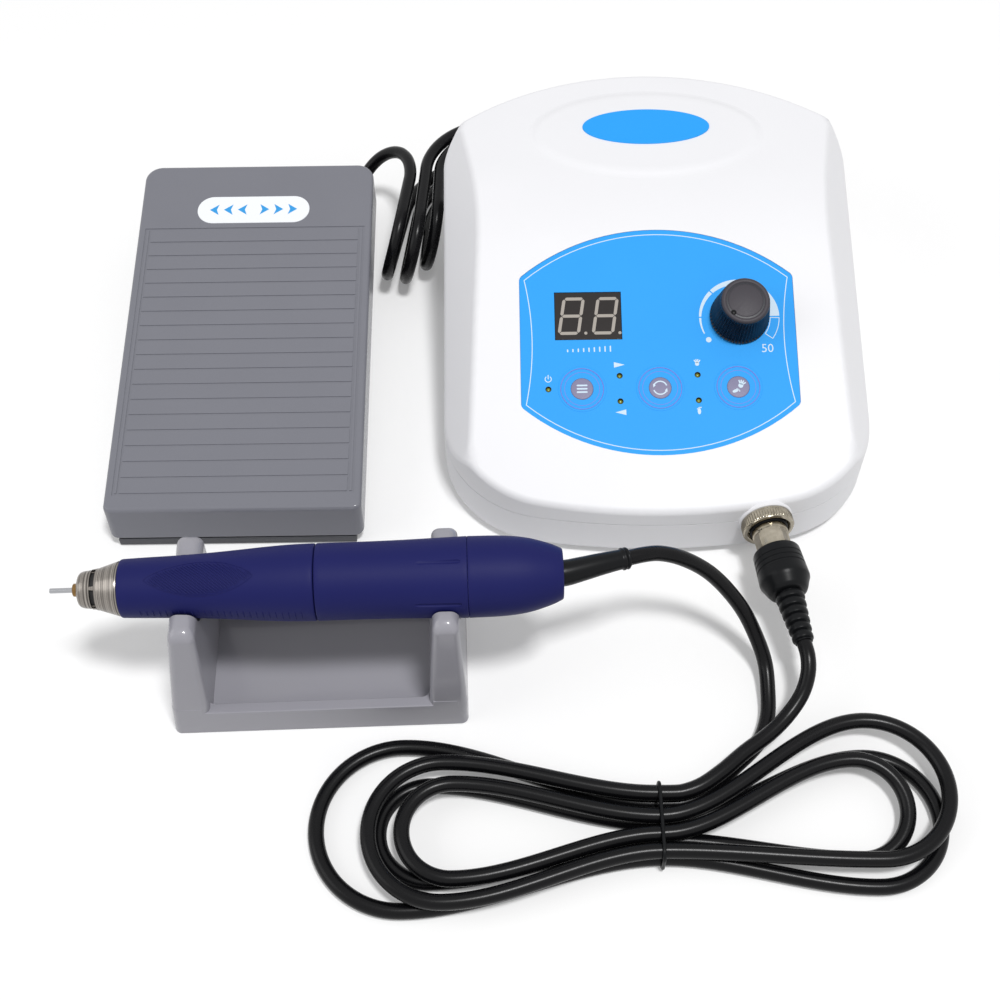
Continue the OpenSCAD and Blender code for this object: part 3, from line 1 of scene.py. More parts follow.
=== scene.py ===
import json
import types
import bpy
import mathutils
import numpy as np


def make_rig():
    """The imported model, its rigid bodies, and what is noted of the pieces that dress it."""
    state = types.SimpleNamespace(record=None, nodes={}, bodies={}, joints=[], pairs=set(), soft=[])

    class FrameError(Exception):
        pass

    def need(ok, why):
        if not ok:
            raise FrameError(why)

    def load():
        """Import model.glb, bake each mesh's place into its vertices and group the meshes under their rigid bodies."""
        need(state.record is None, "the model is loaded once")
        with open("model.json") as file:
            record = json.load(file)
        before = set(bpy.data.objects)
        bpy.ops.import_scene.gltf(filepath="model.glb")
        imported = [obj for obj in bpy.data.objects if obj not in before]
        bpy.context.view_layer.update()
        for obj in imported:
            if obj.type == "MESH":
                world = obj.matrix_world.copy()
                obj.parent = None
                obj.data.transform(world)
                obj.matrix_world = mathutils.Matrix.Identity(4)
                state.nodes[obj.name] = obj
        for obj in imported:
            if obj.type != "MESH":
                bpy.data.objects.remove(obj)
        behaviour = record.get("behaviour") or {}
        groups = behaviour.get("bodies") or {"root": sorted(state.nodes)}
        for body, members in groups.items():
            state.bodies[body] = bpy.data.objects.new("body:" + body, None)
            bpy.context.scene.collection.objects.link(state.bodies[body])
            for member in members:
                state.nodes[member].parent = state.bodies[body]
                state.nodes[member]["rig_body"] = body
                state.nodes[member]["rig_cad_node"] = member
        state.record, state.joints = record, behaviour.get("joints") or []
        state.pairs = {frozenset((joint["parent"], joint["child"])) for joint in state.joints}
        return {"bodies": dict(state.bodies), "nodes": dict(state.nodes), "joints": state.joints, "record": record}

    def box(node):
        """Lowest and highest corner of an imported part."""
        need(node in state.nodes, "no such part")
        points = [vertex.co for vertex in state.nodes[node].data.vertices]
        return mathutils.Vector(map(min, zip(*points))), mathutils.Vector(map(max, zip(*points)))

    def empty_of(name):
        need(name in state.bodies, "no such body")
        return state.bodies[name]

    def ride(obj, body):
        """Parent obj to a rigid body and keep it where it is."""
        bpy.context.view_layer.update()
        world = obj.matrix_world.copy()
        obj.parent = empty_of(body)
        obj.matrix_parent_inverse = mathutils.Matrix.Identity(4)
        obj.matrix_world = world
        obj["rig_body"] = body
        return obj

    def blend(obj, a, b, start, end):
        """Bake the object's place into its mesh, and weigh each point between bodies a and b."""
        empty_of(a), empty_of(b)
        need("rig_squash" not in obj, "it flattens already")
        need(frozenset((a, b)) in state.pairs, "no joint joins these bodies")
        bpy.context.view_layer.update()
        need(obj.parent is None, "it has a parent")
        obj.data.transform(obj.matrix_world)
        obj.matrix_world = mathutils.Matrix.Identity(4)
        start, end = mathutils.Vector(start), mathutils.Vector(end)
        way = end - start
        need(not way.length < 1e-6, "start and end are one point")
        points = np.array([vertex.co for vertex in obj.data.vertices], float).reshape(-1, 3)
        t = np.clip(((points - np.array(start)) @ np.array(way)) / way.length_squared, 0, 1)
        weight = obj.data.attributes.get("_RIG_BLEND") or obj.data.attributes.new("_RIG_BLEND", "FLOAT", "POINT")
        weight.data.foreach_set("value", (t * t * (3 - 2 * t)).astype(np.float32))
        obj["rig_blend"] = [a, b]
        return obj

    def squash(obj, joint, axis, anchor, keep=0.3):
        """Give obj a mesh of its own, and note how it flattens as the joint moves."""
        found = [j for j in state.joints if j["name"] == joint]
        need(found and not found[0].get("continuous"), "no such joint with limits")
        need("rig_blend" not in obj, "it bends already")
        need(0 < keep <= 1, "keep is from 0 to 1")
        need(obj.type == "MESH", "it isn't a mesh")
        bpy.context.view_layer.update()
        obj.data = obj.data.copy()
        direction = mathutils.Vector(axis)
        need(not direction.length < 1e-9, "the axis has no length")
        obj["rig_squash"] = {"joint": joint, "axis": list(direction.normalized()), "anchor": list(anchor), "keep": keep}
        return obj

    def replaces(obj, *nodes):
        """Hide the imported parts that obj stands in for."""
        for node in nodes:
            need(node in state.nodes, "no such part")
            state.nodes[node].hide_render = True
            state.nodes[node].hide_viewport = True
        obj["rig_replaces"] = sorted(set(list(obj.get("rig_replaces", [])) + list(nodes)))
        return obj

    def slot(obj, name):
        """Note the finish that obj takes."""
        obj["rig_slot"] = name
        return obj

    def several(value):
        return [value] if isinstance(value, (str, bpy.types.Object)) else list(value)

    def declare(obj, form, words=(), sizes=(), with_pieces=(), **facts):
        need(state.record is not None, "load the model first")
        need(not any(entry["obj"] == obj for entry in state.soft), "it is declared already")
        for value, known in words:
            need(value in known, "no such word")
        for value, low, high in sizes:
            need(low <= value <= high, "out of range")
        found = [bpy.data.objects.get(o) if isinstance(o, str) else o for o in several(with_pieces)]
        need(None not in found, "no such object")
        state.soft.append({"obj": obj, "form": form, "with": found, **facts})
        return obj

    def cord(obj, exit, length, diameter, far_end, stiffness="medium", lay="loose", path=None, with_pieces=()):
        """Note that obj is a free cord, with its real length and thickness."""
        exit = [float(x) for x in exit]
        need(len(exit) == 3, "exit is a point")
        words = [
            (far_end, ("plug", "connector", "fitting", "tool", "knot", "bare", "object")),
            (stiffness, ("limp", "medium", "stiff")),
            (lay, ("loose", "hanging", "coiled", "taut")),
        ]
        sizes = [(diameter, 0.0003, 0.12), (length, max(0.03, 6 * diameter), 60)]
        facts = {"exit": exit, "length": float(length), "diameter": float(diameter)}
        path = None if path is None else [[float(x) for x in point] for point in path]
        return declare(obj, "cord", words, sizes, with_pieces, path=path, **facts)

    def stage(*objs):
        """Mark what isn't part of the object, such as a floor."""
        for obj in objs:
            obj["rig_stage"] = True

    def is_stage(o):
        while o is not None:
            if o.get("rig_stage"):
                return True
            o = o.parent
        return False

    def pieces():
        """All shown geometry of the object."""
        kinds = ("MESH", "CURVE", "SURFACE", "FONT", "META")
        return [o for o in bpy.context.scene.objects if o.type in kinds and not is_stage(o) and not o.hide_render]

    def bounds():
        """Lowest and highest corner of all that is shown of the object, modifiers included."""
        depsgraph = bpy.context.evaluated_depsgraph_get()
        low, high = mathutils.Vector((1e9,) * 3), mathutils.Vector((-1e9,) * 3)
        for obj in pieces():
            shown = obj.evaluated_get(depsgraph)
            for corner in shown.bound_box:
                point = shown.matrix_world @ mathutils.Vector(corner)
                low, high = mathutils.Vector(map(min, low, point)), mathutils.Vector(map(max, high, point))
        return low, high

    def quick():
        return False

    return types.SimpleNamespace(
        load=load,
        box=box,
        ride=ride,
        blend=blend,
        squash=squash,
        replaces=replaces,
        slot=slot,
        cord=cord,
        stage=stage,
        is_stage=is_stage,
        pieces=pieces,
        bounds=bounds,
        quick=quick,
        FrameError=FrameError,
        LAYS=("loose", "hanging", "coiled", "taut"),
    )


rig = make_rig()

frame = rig.load()

import json
import logging
import math
from dataclasses import dataclass, field
from enum import Enum
from typing import Callable, Iterable, Sequence

import bmesh
import bpy
from mathutils import Matrix, Vector

# Looks of the dental micromotor set. Sizes are millimetres in the row frame; a piece is scaled to metres
# when it is finished. Places and routes repeat the named values of the part's source.

LOG = logging.getLogger("micromotor")
MM = 0.001
GRAIN_DETAIL = 2.0
PATCH_DETAIL = 3.0
HANDPIECE_AXIS = (0.9997, 0.0244, 0.0)  # way of the handpiece in the row frame
PRINT = (-0.01, 0.03)  # lower and upper face of a print, from the surface that carries it
SIGN = (-0.03, 0.01)  # the same for a sign whose place lies a little above that surface
CAD_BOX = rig.bounds()
Pair = tuple[float, float]
Triple = tuple[float, float, float]
Quad = tuple[float, float, float, float]
Tree = bpy.types.NodeTree
Socket = bpy.types.NodeSocket
Piece = bpy.types.Object
Route = list[Vector]


class Body(str, Enum):
    """Bodies of the frame that carry pieces."""

    ROOT = "root"
    KNOB = "knob"
    MODE = "mode_key"
    DIRECTION = "direction_key"
    HAND_FOOT = "hand_foot_key"
    ROCKER = "power_rocker"
    HANDPIECE = "handpiece"
    CHUCK = "chuck"
    SPINDLE = "drive_spindle"
    PEDAL = "pedal"


def linear(code: str) -> Quad:
    """Turns an sRGB hex colour into linear light.

    Args:
        code: colour as "#rrggbb".

    Returns:
        Red, green, blue and alpha in linear light.
    """
    parts = [int(code[i:i + 2], 16) / 255 for i in (1, 3, 5)]
    red, green, blue = (p / 12.92 if p <= 0.04045 else ((p + 0.055) / 1.055) ** 2.4 for p in parts)
    return red, green, blue, 1.0


def at(x: float, y: float, z: float) -> Matrix:
    """A move to a point."""
    return Matrix.Translation((x, y, z))


def turn(degrees: float, axis: str) -> Matrix:
    """A turn about a main axis."""
    return Matrix.Rotation(math.radians(degrees), 4, axis)


STAND_PLACE = at(-58.5, -104.0, 0.0) @ turn(1.4, "Z")
AXIS_HEIGHT = 57.0


def add_node(tree: Tree, kind: str, settings: dict | None = None, inputs: dict | None = None,
             links: dict | None = None) -> bpy.types.Node:
    """Adds a shader node.

    Args:
        tree: node tree to add to.
        kind: node type.
        settings: properties to set on the node.
        inputs: constants for its sockets, by name or place.
        links: output sockets to join to its inputs, by name or place.

    Returns:
        The new node.
    """
    node = tree.nodes.new(kind)
    for name, value in (settings or {}).items():
        setattr(node, name, value)
    for name, value in (inputs or {}).items():
        node.inputs[name].default_value = value
    for name, socket in (links or {}).items():
        tree.links.new(socket, node.inputs[name])
    return node


def noise(tree: Tree, coords: Socket, size: float, detail: float) -> Socket:
    """Adds a noise pattern of a size in millimetres."""
    return add_node(tree, "ShaderNodeTexNoise", inputs={"Scale": 1 / (size * MM), "Detail": detail},
                    links={"Vector": coords}).outputs["Fac"]


@dataclass(frozen=True)
class Finish:
    """A moulded, rubbed or painted surface with soft tone patches and a fine grain.

    Sizes are millimetres: patch is the size of the tone patches, grain the size of the grain and depth
    the height of the grain.
    """

    name: str
    slot: str
    colour: str
    shade: str
    rough: float
    spread: float = 0.06
    metal: float = 0.0
    patch: float = 25.0
    grain: float = 0.35
    depth: float = 0.006
    coat: float = 0.0
    level: float = 0.5

    def height(self, tree: Tree, coords: Socket) -> Socket:
        """Gives the height pattern of the surface: a fine grain."""
        return noise(tree, coords, self.grain, GRAIN_DETAIL)

    def tones(self, tree: Tree, coords: Socket) -> Socket:
        """Gives the pattern that mixes the two colours: soft patches."""
        return noise(tree, coords, self.patch, PATCH_DETAIL)

    def material(self) -> bpy.types.Material:
        """Makes the material once, and finds it again later."""
        known = bpy.data.materials.get(self.name)
        if known:
            return known
        made = bpy.data.materials.new(self.name)
        made.use_nodes = True
        tree = made.node_tree
        tree.nodes.clear()
        coords = add_node(tree, "ShaderNodeTexCoord").outputs["Object"]
        tone = add_node(tree, "ShaderNodeMix", {"data_type": "RGBA"},
                        {6: linear(self.colour), 7: linear(self.shade)}, {0: self.tones(tree, coords)})
        height = self.height(tree, coords)
        rough = add_node(tree, "ShaderNodeMapRange", inputs={"From Min": 0.25, "From Max": 0.75,
                         "To Min": max(self.rough - self.spread, 0.02), "To Max": self.rough + self.spread},
                         links={"Value": height})
        bump = add_node(tree, "ShaderNodeBump", inputs={"Strength": 1.0, "Distance": self.depth * MM},
                        links={"Height": height})
        shader = add_node(tree, "ShaderNodeBsdfPrincipled",
                          inputs={"Metallic": self.metal, "Coat Weight": self.coat, "Coat Roughness": 0.12,
                                  "Specular IOR Level": self.level},
                          links={"Base Color": tone.outputs[2], "Roughness": rough.outputs["Result"],
                                 "Normal": bump.outputs["Normal"]})
        add_node(tree, "ShaderNodeOutputMaterial", links={"Surface": shader.outputs["BSDF"]})
        return made


@dataclass(frozen=True)
class TurnedFinish(Finish):
    """Metal turned on a lathe: fine rings across an axis, at a pitch in millimetres."""

    axis: Triple = (1.0, 0.0, 0.0)
    pitch: float = 0.5

    def along(self, tree: Tree, coords: Socket) -> Socket:
        """Gives the distance along the axis."""
        return add_node(tree, "ShaderNodeVectorMath", {"operation": "DOT_PRODUCT"}, {1: self.axis},
                        {0: coords}).outputs["Value"]

    def height(self, tree: Tree, coords: Socket) -> Socket:
        """Gives rings along the axis, broken up a little by the grain."""
        phase = add_node(tree, "ShaderNodeMath", {"operation": "MULTIPLY_ADD"},
                         {1: 2 * math.pi / (self.pitch * MM)},
                         {0: self.along(tree, coords), 2: noise(tree, coords, self.grain, GRAIN_DETAIL)})
        wave = add_node(tree, "ShaderNodeMath", {"operation": "SINE"}, links={0: phase.outputs["Value"]})
        return add_node(tree, "ShaderNodeMapRange", inputs={"From Min": -1.0, "From Max": 1.0},
                        links={"Value": wave.outputs["Value"]}).outputs["Result"]


@dataclass(frozen=True)
class BandedFinish(TurnedFinish):
    """Turned metal whose rings also differ in tone: dark rings of painted reflection."""

    def tones(self, tree: Tree, coords: Socket) -> Socket:
        """Gives rings of uneven tone along the axis, as painted dark reflection."""
        bands = add_node(tree, "ShaderNodeTexNoise", {"noise_dimensions": "1D"},
                         {"Scale": 1 / (self.patch * MM), "Detail": 4.0, "Roughness": 0.7},
                         {"W": self.along(tree, coords)})
        return add_node(tree, "ShaderNodeMapRange", inputs={"From Min": 0.35, "From Max": 0.65},
                        links={"Value": bands.outputs["Fac"]}).outputs["Result"]


class Look:
    """Finishes of the set, named for the real material and how it is made; some also carry painted shade and painted
    reflection, as their comments say.
    """

    # spark-eroded satin white moulding: flat white with a whisper of grain
    WHITE = Finish("injection_moulded_satin_white_abs", "abs_white", "#EBEBEE", "#E8E8EB", 0.45, 0.05, depth=0.004,
                   level=0.35)
    # screen-printed film: clear azure, half dull
    FILM = Finish("screen_printed_azure_polyester_film", "overlay_film", "#2C9FF2", "#30A2F4", 0.5, 0.05,
                  grain=0.25, depth=0.002, level=0.15)
    # white ink tinted by the blue film under it: pale and flat
    INK = Finish("opaque_white_screen_ink", "label_white", "#CFE2F1", "#C9DEEF", 0.5, 0.04, depth=0.001, level=0.2)
    # thin violet ink on blue: quiet rings round the keys
    RING = Finish("thin_violet_screen_ink", "overlay_film", "#7F78CE", "#7A74CB", 0.4, 0.04, depth=0.001, level=0.2)
    # grey printed key caps: slightly warm and matt
    KEY = Finish("grey_violet_printed_key_film", "button_grey", "#85829F", "#807D9A", 0.42, depth=0.002, level=0.2)
    # smoked filter of the display: near black with a brown cast
    DISPLAY = Finish("smoked_acrylic_display_filter", "display_lens", "#2B2726", "#272322", 0.2, 0.03,
                     depth=0.0005, level=0.2)
    # unlit segments seen through the filter: pale warm grey
    SEGMENT = Finish("unlit_led_segment_resin", "display_lens", "#A8A199", "#A09991", 0.35, depth=0.001, level=0.2)
    # lamp resin: yellow-green, wet looking
    LAMP = Finish("cast_yellow_green_led_resin", "lamp_lens", "#8F9434", "#7C8230", 0.15, 0.03, depth=0.0005)
    # painted shade inside small holes: soft black
    HOLE_SHADE = Finish("painted_hole_shade_black", "black_plastic", "#0B0B0C", "#0E0E10", 0.7, depth=0.002)
    # ribbed side of the knob: black with a blue cast painted as reflection of the film, dull from its mould
    KNOB = Finish("moulded_black_knob_abs_painted_blue_reflection", "knob_black", "#191C26", "#14161E", 0.34, 0.08, grain=0.3,
                  depth=0.004, level=0.35)
    # top of the knob: lighter brown-grey, matt
    KNOB_TOP = Finish("spun_textured_charcoal_abs", "knob_black", "#403D43", "#3A373D", 0.5, 0.08, grain=0.3,
                      depth=0.01, level=0.25)
    # hard black mouldings: even black, half dull
    BLACK = Finish("moulded_black_pa", "black_plastic", "#18191B", "#1C1D20", 0.42, 0.08, depth=0.006, level=0.3)
    # moulded plug and boots: soft black with a dull bloom
    PLUG = Finish("overmoulded_black_pvc", "black_plastic", "#0D0E10", "#111214", 0.34, 0.06, grain=0.4, depth=0.006,
                  level=0.14)
    # cord jacket: extruded black with a narrow bright line along it
    CORD = Finish("extruded_black_pvc_jacket", "cord_black", "#08080A", "#0B0B0D", 0.27, 0.04, patch=40.0,
                  grain=0.5, depth=0.003, level=0.17)
    # silicone sleeves: deep navy, dry
    NAVY = Finish("moulded_navy_silicone", "sleeve_navy", "#1A1D57", "#181B53", 0.55, 0.06, grain=0.3,
                  depth=0.008, level=0.14)
    # nickel with a warm cast, turned rings on it, darkened in rings as painted reflection
    NICKEL = BandedFinish("turned_nickel_plated_brass", "nickel_warm", "#A8A29B", "#4C4845", 0.3, 0.08, metal=1.0,
                          patch=0.55, grain=0.2, depth=0.004, axis=HANDPIECE_AXIS, pitch=0.42)
    # plated socket parts: bright and warm, with dark tone patches as painted reflection
    PLATED = Finish("bright_nickel_plated_brass", "nickel_warm", "#C6BEAE", "#615A4B", 0.18, 0.08, metal=1.0,
                    patch=4.0, grain=0.15, depth=0.003)
    # bare collet tip: darker bronze
    BRONZE = Finish("heat_tinted_spring_bronze", "steel_plated", "#8C6F45", "#7A5E3A", 0.3, 0.08, metal=1.0,
                    patch=2.0, grain=0.1, depth=0.003)
    # ground tool shank: bright and cold
    STEEL = TurnedFinish("ground_stainless_steel", "steel_plated", "#B4B5B8", "#A2A3A7", 0.22, 0.06, metal=1.0,
                         grain=0.15, depth=0.001, axis=HANDPIECE_AXIS, pitch=0.2)
    # small hardware: dull zinc
    ZINC = Finish("zinc_plated_steel", "steel_plated", "#B4B6B8", "#A6A8AC", 0.34, 0.08, metal=1.0, depth=0.004)
    # cradle moulding: light grey, glossier than the pedal
    CRADLE = Finish("moulded_light_grey_abs", "cradle_grey", "#98979E", "#94939B", 0.34, 0.06, grain=0.4,
                    depth=0.003, level=0.15, coat=0.5)
    # pedal top: mid grey with a fine spark texture
    PEDAL = Finish("spark_textured_grey_abs", "pedal_grey", "#787981", "#74757D", 0.46, 0.08, grain=0.5,
                   depth=0.01, level=0.12, coat=0.5)
    # pedal base: darker and duller
    BASE = Finish("moulded_dark_grey_abs", "pedal_dark", "#44454A", "#3E3F44", 0.55, depth=0.008)
    # printed label: clean white gloss
    LABEL = Finish("white_vinyl_label", "label_white", "#F3F5F8", "#EFF2F6", 0.3, depth=0.001, coat=0.2)
    # light blue ink on the label: flat
    MARK = Finish("light_blue_screen_ink", "overlay_film", "#2E9BE0", "#2B97DC", 0.45, depth=0.001)
    # feet and soft parts: dull black rubber
    RUBBER = Finish("moulded_black_rubber", "foot_rubber", "#1F2022", "#242528", 0.75, depth=0.015)
    # rear plate: pale grey sheet, painted
    PLATE = Finish("painted_pale_grey_steel", "rear_grey", "#DEDFE1", "#D9DADD", 0.45, depth=0.006)
    # circuit boards: green resist, half glossy
    BOARD = Finish("green_solder_resist_board", "circuit_board", "#2C6B3D", "#255C34", 0.35, patch=8.0, depth=0.006)
    # transformer laminations: dark varnished iron
    IRON = Finish("varnished_iron_laminations", "core_iron", "#4E4F54", "#45464B", 0.5, metal=0.6, depth=0.01)
    # windings: enamelled copper
    COPPER = Finish("enamelled_copper_winding", "copper_coil", "#A9652C", "#955724", 0.34, metal=0.8, patch=4.0,
                    depth=0.02)
    # motor case: plain aluminium
    ALLOY = Finish("machined_aluminium", "motor_alloy", "#B9BBBF", "#ACAEB3", 0.3, metal=1.0, depth=0.004)
    # magnets and carbon: dark grey, dry
    DARK = Finish("sintered_dark_ferrite", "magnet_dark", "#3A3B3F", "#323337", 0.7, depth=0.015)
    # plunger: plain red moulding
    RED = Finish("moulded_red_pom", "plunger_red", "#B8432E", "#AD3D29", 0.35, depth=0.003)


class Shape:
    """A mesh under construction, in millimetres of the row frame."""

    def __init__(self) -> None:
        """Starts with an empty mesh."""
        self.bm = bmesh.new()

    def join(self, other: bmesh.types.BMesh, place: Matrix | None = None) -> "Shape":
        """Adds a mesh at a place and frees it.

        Args:
            other: mesh to add.
            place: where it goes.

        Returns:
            This shape.
        """
        bmesh.ops.recalc_face_normals(other, faces=other.faces[:])
        if place is not None:
            bmesh.ops.transform(other, matrix=place, verts=other.verts[:])
        holder = bpy.data.meshes.new("holder")
        other.to_mesh(holder)
        other.free()
        self.bm.from_mesh(holder)
        bpy.data.meshes.remove(holder)
        return self

    def lathe(self, profile: Sequence[Pair], steps: int, place: Matrix | None = None, closed: bool = False,
              wobble: Callable[[float, float, float], float] | None = None) -> "Shape":
        """Spins a profile of (radius, height) about the local z axis.

        Args:
            profile: points of the profile.
            steps: steps round the turn.
            place: where it goes.
            closed: joins the last point to the first.
            wobble: gives a new radius from radius, angle and height.

        Returns:
            This shape.
        """
        bm = bmesh.new()
        verts = [bm.verts.new((r, 0.0, z)) for r, z in profile]
        pairs = list(zip(verts, verts[1:])) + ([(verts[-1], verts[0])] if closed else [])
        edges = [bm.edges.new(pair) for pair in pairs]
        bmesh.ops.spin(bm, geom=verts + edges, cent=(0, 0, 0), axis=(0, 0, 1), angle=2 * math.pi, steps=steps,
                       use_merge=True)
        bmesh.ops.remove_doubles(bm, verts=bm.verts[:], dist=1e-4)
        if wobble:
            for v in bm.verts:
                r = math.hypot(v.co.x, v.co.y)
                if r > 1e-6:
                    k = wobble(r, math.atan2(v.co.y, v.co.x), v.co.z) / r
                    v.co.x, v.co.y = v.co.x * k, v.co.y * k
        return self.join(bm, place)

    def prism(self, outline: Sequence[Pair], low: float, high: float, place: Matrix | None = None,
              corners: Sequence[int] = (), corner: float = 0.0, soft: float = 0.0) -> "Shape":
        """Extrudes an outline.

        Args:
            outline: points in order.
            low: height it starts from.
            high: height it ends at.
            place: where it goes.
            corners: places of outline points to round in plan.
            corner: length cut off at those corners.
            soft: width of the rounding of the upper rim.

        Returns:
            This shape.
        """
        bm = bmesh.new()
        face = bm.faces.new([bm.verts.new((x, y, low)) for x, y in outline])
        if corners:
            bm.verts.ensure_lookup_table()
            bmesh.ops.bevel(bm, geom=[bm.verts[i] for i in corners], offset=corner, offset_type="OFFSET",
                            segments=6, profile=0.5, affect="VERTICES", material=-1)
            face = bm.faces[:][0]
        made = bmesh.ops.extrude_face_region(bm, geom=[face])["geom"]
        top = [v for v in made if isinstance(v, bmesh.types.BMVert)]
        bmesh.ops.translate(bm, vec=(0, 0, high - low), verts=top)
        if soft:
            rim = [e for e in made if isinstance(e, bmesh.types.BMEdge)]
            bmesh.ops.bevel(bm, geom=rim, offset=soft, offset_type="OFFSET", segments=3, profile=0.5,
                            affect="EDGES", material=-1)
        return self.join(bm, place)

    def box(self, low: Sequence[float], high: Sequence[float], place: Matrix | None = None) -> "Shape":
        """Adds a box between two corners."""
        (a, b, c), (d, e, f) = low, high
        return self.prism([(a, b), (d, b), (d, e), (a, e)], c, f, place)

    def rod(self, radius: float, low: float, high: float, steps: int, place: Matrix) -> "Shape":
        """Adds a plain cylinder between two heights."""
        return self.lathe([(0, low), (radius, low), (radius, high), (0, high)], steps, place)

    def loft(self, rings: Sequence[Sequence[Sequence[float]]], place: Matrix) -> "Shape":
        """Skins a stack of closed rings and caps both ends.

        Args:
            rings: rings from the lowest up, each with the same count of points.
            place: where it goes.

        Returns:
            This shape.
        """
        bm = bmesh.new()
        loops = [[bm.verts.new(p) for p in ring] for ring in rings]
        for a, b in zip(loops, loops[1:]):
            for k in range(len(a)):
                bm.faces.new((a[k - 1], a[k], b[k], b[k - 1]))
        bm.faces.new(loops[0][::-1])
        bm.faces.new(loops[-1])
        return self.join(bm, place)

    def move(self, place: Matrix) -> "Shape":
        """Moves the whole shape to a place."""
        bmesh.ops.transform(self.bm, matrix=place, verts=self.bm.verts[:])
        return self

    def tube(self, route: Route, radius: float, sides: int = 16, radii: Sequence[float] | None = None) -> "Shape":
        """Sweeps a round section along a route.

        Args:
            route: points of the centreline.
            radius: radius of the section.
            sides: sides of the section, an even number.
            radii: scale of the radius at each point.

        Returns:
            This shape.
        """
        curve = bpy.data.curves.new("route", "CURVE")
        curve.dimensions = "3D"
        curve.bevel_depth = radius
        curve.bevel_resolution = sides // 2 - 2
        curve.use_fill_caps = True
        spline = curve.splines.new("POLY")
        spline.points.add(len(route) - 1)
        for i, p in enumerate(route):
            spline.points[i].co = (*p, 1.0)
            spline.points[i].radius = radii[i] if radii else 1.0
        return self.take(curve)

    def take(self, curve: bpy.types.Curve, place: Matrix | None = None) -> "Shape":
        """Turns a curve or text into a mesh and adds it."""
        obj = bpy.data.objects.new("maker", curve)
        bpy.context.scene.collection.objects.link(obj)
        mesh = bpy.data.meshes.new_from_object(obj.evaluated_get(bpy.context.evaluated_depsgraph_get()))
        bm = bmesh.new()
        bm.from_mesh(mesh)
        bmesh.ops.remove_doubles(bm, verts=bm.verts[:], dist=1e-4)
        bpy.data.objects.remove(obj)
        bpy.data.curves.remove(curve)
        bpy.data.meshes.remove(mesh)
        return self.join(bm, place)

    def figures(self, text: str, height: float, thick: float, place: Matrix) -> "Shape":
        """Adds plain figures, centred, as a thin raised print."""
        curve = bpy.data.curves.new("print", "FONT")
        curve.body, curve.size, curve.extrude = text, height * 1.38, thick / 2
        curve.align_x, curve.align_y = "CENTER", "CENTER"
        curve.resolution_u = 3
        return self.take(curve, place)

    def holder(self) -> Piece:
        """Puts the mesh in a working object."""
        mesh = bpy.data.meshes.new("work")
        self.bm.to_mesh(mesh)
        obj = bpy.data.objects.new("work", mesh)
        bpy.context.scene.collection.objects.link(obj)
        return obj

    def carve(self, *cutters: "Shape") -> "Shape":
        """Cuts other shapes out of this one.

        Args:
            cutters: closed shapes that are used up.

        Returns:
            This shape.
        """
        base = self.holder()
        tools = [cutter.holder() for cutter in cutters]
        for tool in tools:
            cut = base.modifiers.new("cut", "BOOLEAN")
            cut.operation, cut.solver, cut.object = "DIFFERENCE", "EXACT", tool
        mesh = bpy.data.meshes.new_from_object(base.evaluated_get(bpy.context.evaluated_depsgraph_get()))
        self.bm.free()
        self.bm = bmesh.new()
        self.bm.from_mesh(mesh)
        bpy.data.meshes.remove(mesh)
        for obj in (base, *tools):
            data = obj.data
            bpy.data.objects.remove(obj)
            bpy.data.meshes.remove(data)
        for cutter in cutters:
            cutter.bm.free()
        return self

    def copy_node(self, node: str) -> "Shape":
        """Adds a merged copy of a CAD node."""
        source = frame["nodes"][node]
        world = source.matrix_world
        bm = bmesh.new()
        verts = [bm.verts.new(world @ v.co / MM) for v in source.data.vertices]
        for p in source.data.polygons:
            ring = [verts[i] for i in p.vertices]
            if bm.faces.get(ring) is None:
                bm.faces.new(ring)
        bmesh.ops.remove_doubles(bm, verts=bm.verts[:], dist=0.002)
        bmesh.ops.dissolve_limit(bm, angle_limit=math.radians(0.6), verts=bm.verts[:], edges=bm.edges[:],
                                 delimit={"NORMAL"})
        return self.join(bm)

    def soften(self, width: float, segments: int, pick: Callable[[bmesh.types.BMEdge], bool]) -> "Shape":
        """Rounds the picked edges.

        Args:
            width: width of the rounding.
            segments: facets across it.
            pick: tells which edges are rounded.

        Returns:
            This shape.
        """
        edges = [e for e in self.bm.edges if len(e.link_faces) == 2 and pick(e)]
        bmesh.ops.bevel(self.bm, geom=edges, offset=width, offset_type="OFFSET", segments=segments, profile=0.5,
                        affect="EDGES", material=-1, clamp_overlap=True)
        return self

    def finish(self, name: str, look: Finish, body: Body, *nodes: str, sharp: float = 35.0, even: bool = False,
               round_by: float = 0.0, ride: bool = True) -> Piece:
        """Makes the finished piece.

        Args:
            name: name of the piece.
            look: its finish.
            body: body it rides on.
            nodes: CAD nodes it stands for.
            sharp: angle in degrees above which an edge stays sharp.
            even: weights normals by face, so that flats look flat beside roundings.
            round_by: width in millimetres of a rounding of its sharp edges.
            ride: parents the piece to the body.

        Returns:
            The piece.
        """
        bm = self.bm
        bmesh.ops.remove_doubles(bm, verts=bm.verts[:], dist=2e-4)
        bmesh.ops.recalc_face_normals(bm, faces=bm.faces[:])
        for face in bm.faces:
            face.smooth = True
        for edge in bm.edges:
            edge.smooth = len(edge.link_faces) == 2 and edge.calc_face_angle(math.pi) < math.radians(sharp)
        bmesh.ops.scale(bm, vec=(MM, MM, MM), verts=bm.verts[:])
        mesh = bpy.data.meshes.new(name)
        bm.to_mesh(mesh)
        bm.free()
        mesh.materials.append(look.material())
        obj = bpy.data.objects.new(name, mesh)
        bpy.context.scene.collection.objects.link(obj)
        if round_by:
            rim = obj.modifiers.new("rim", "BEVEL")
            rim.width, rim.segments, rim.limit_method = round_by * MM, 3, "ANGLE"
            rim.angle_limit, rim.harden_normals = math.radians(32), True
        if even:
            obj.modifiers.new("even", "WEIGHTED_NORMAL").keep_sharp = True
        if ride:
            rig.ride(obj, body.value)
        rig.slot(obj, look.slot)
        if nodes:
            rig.replaces(obj, *nodes)
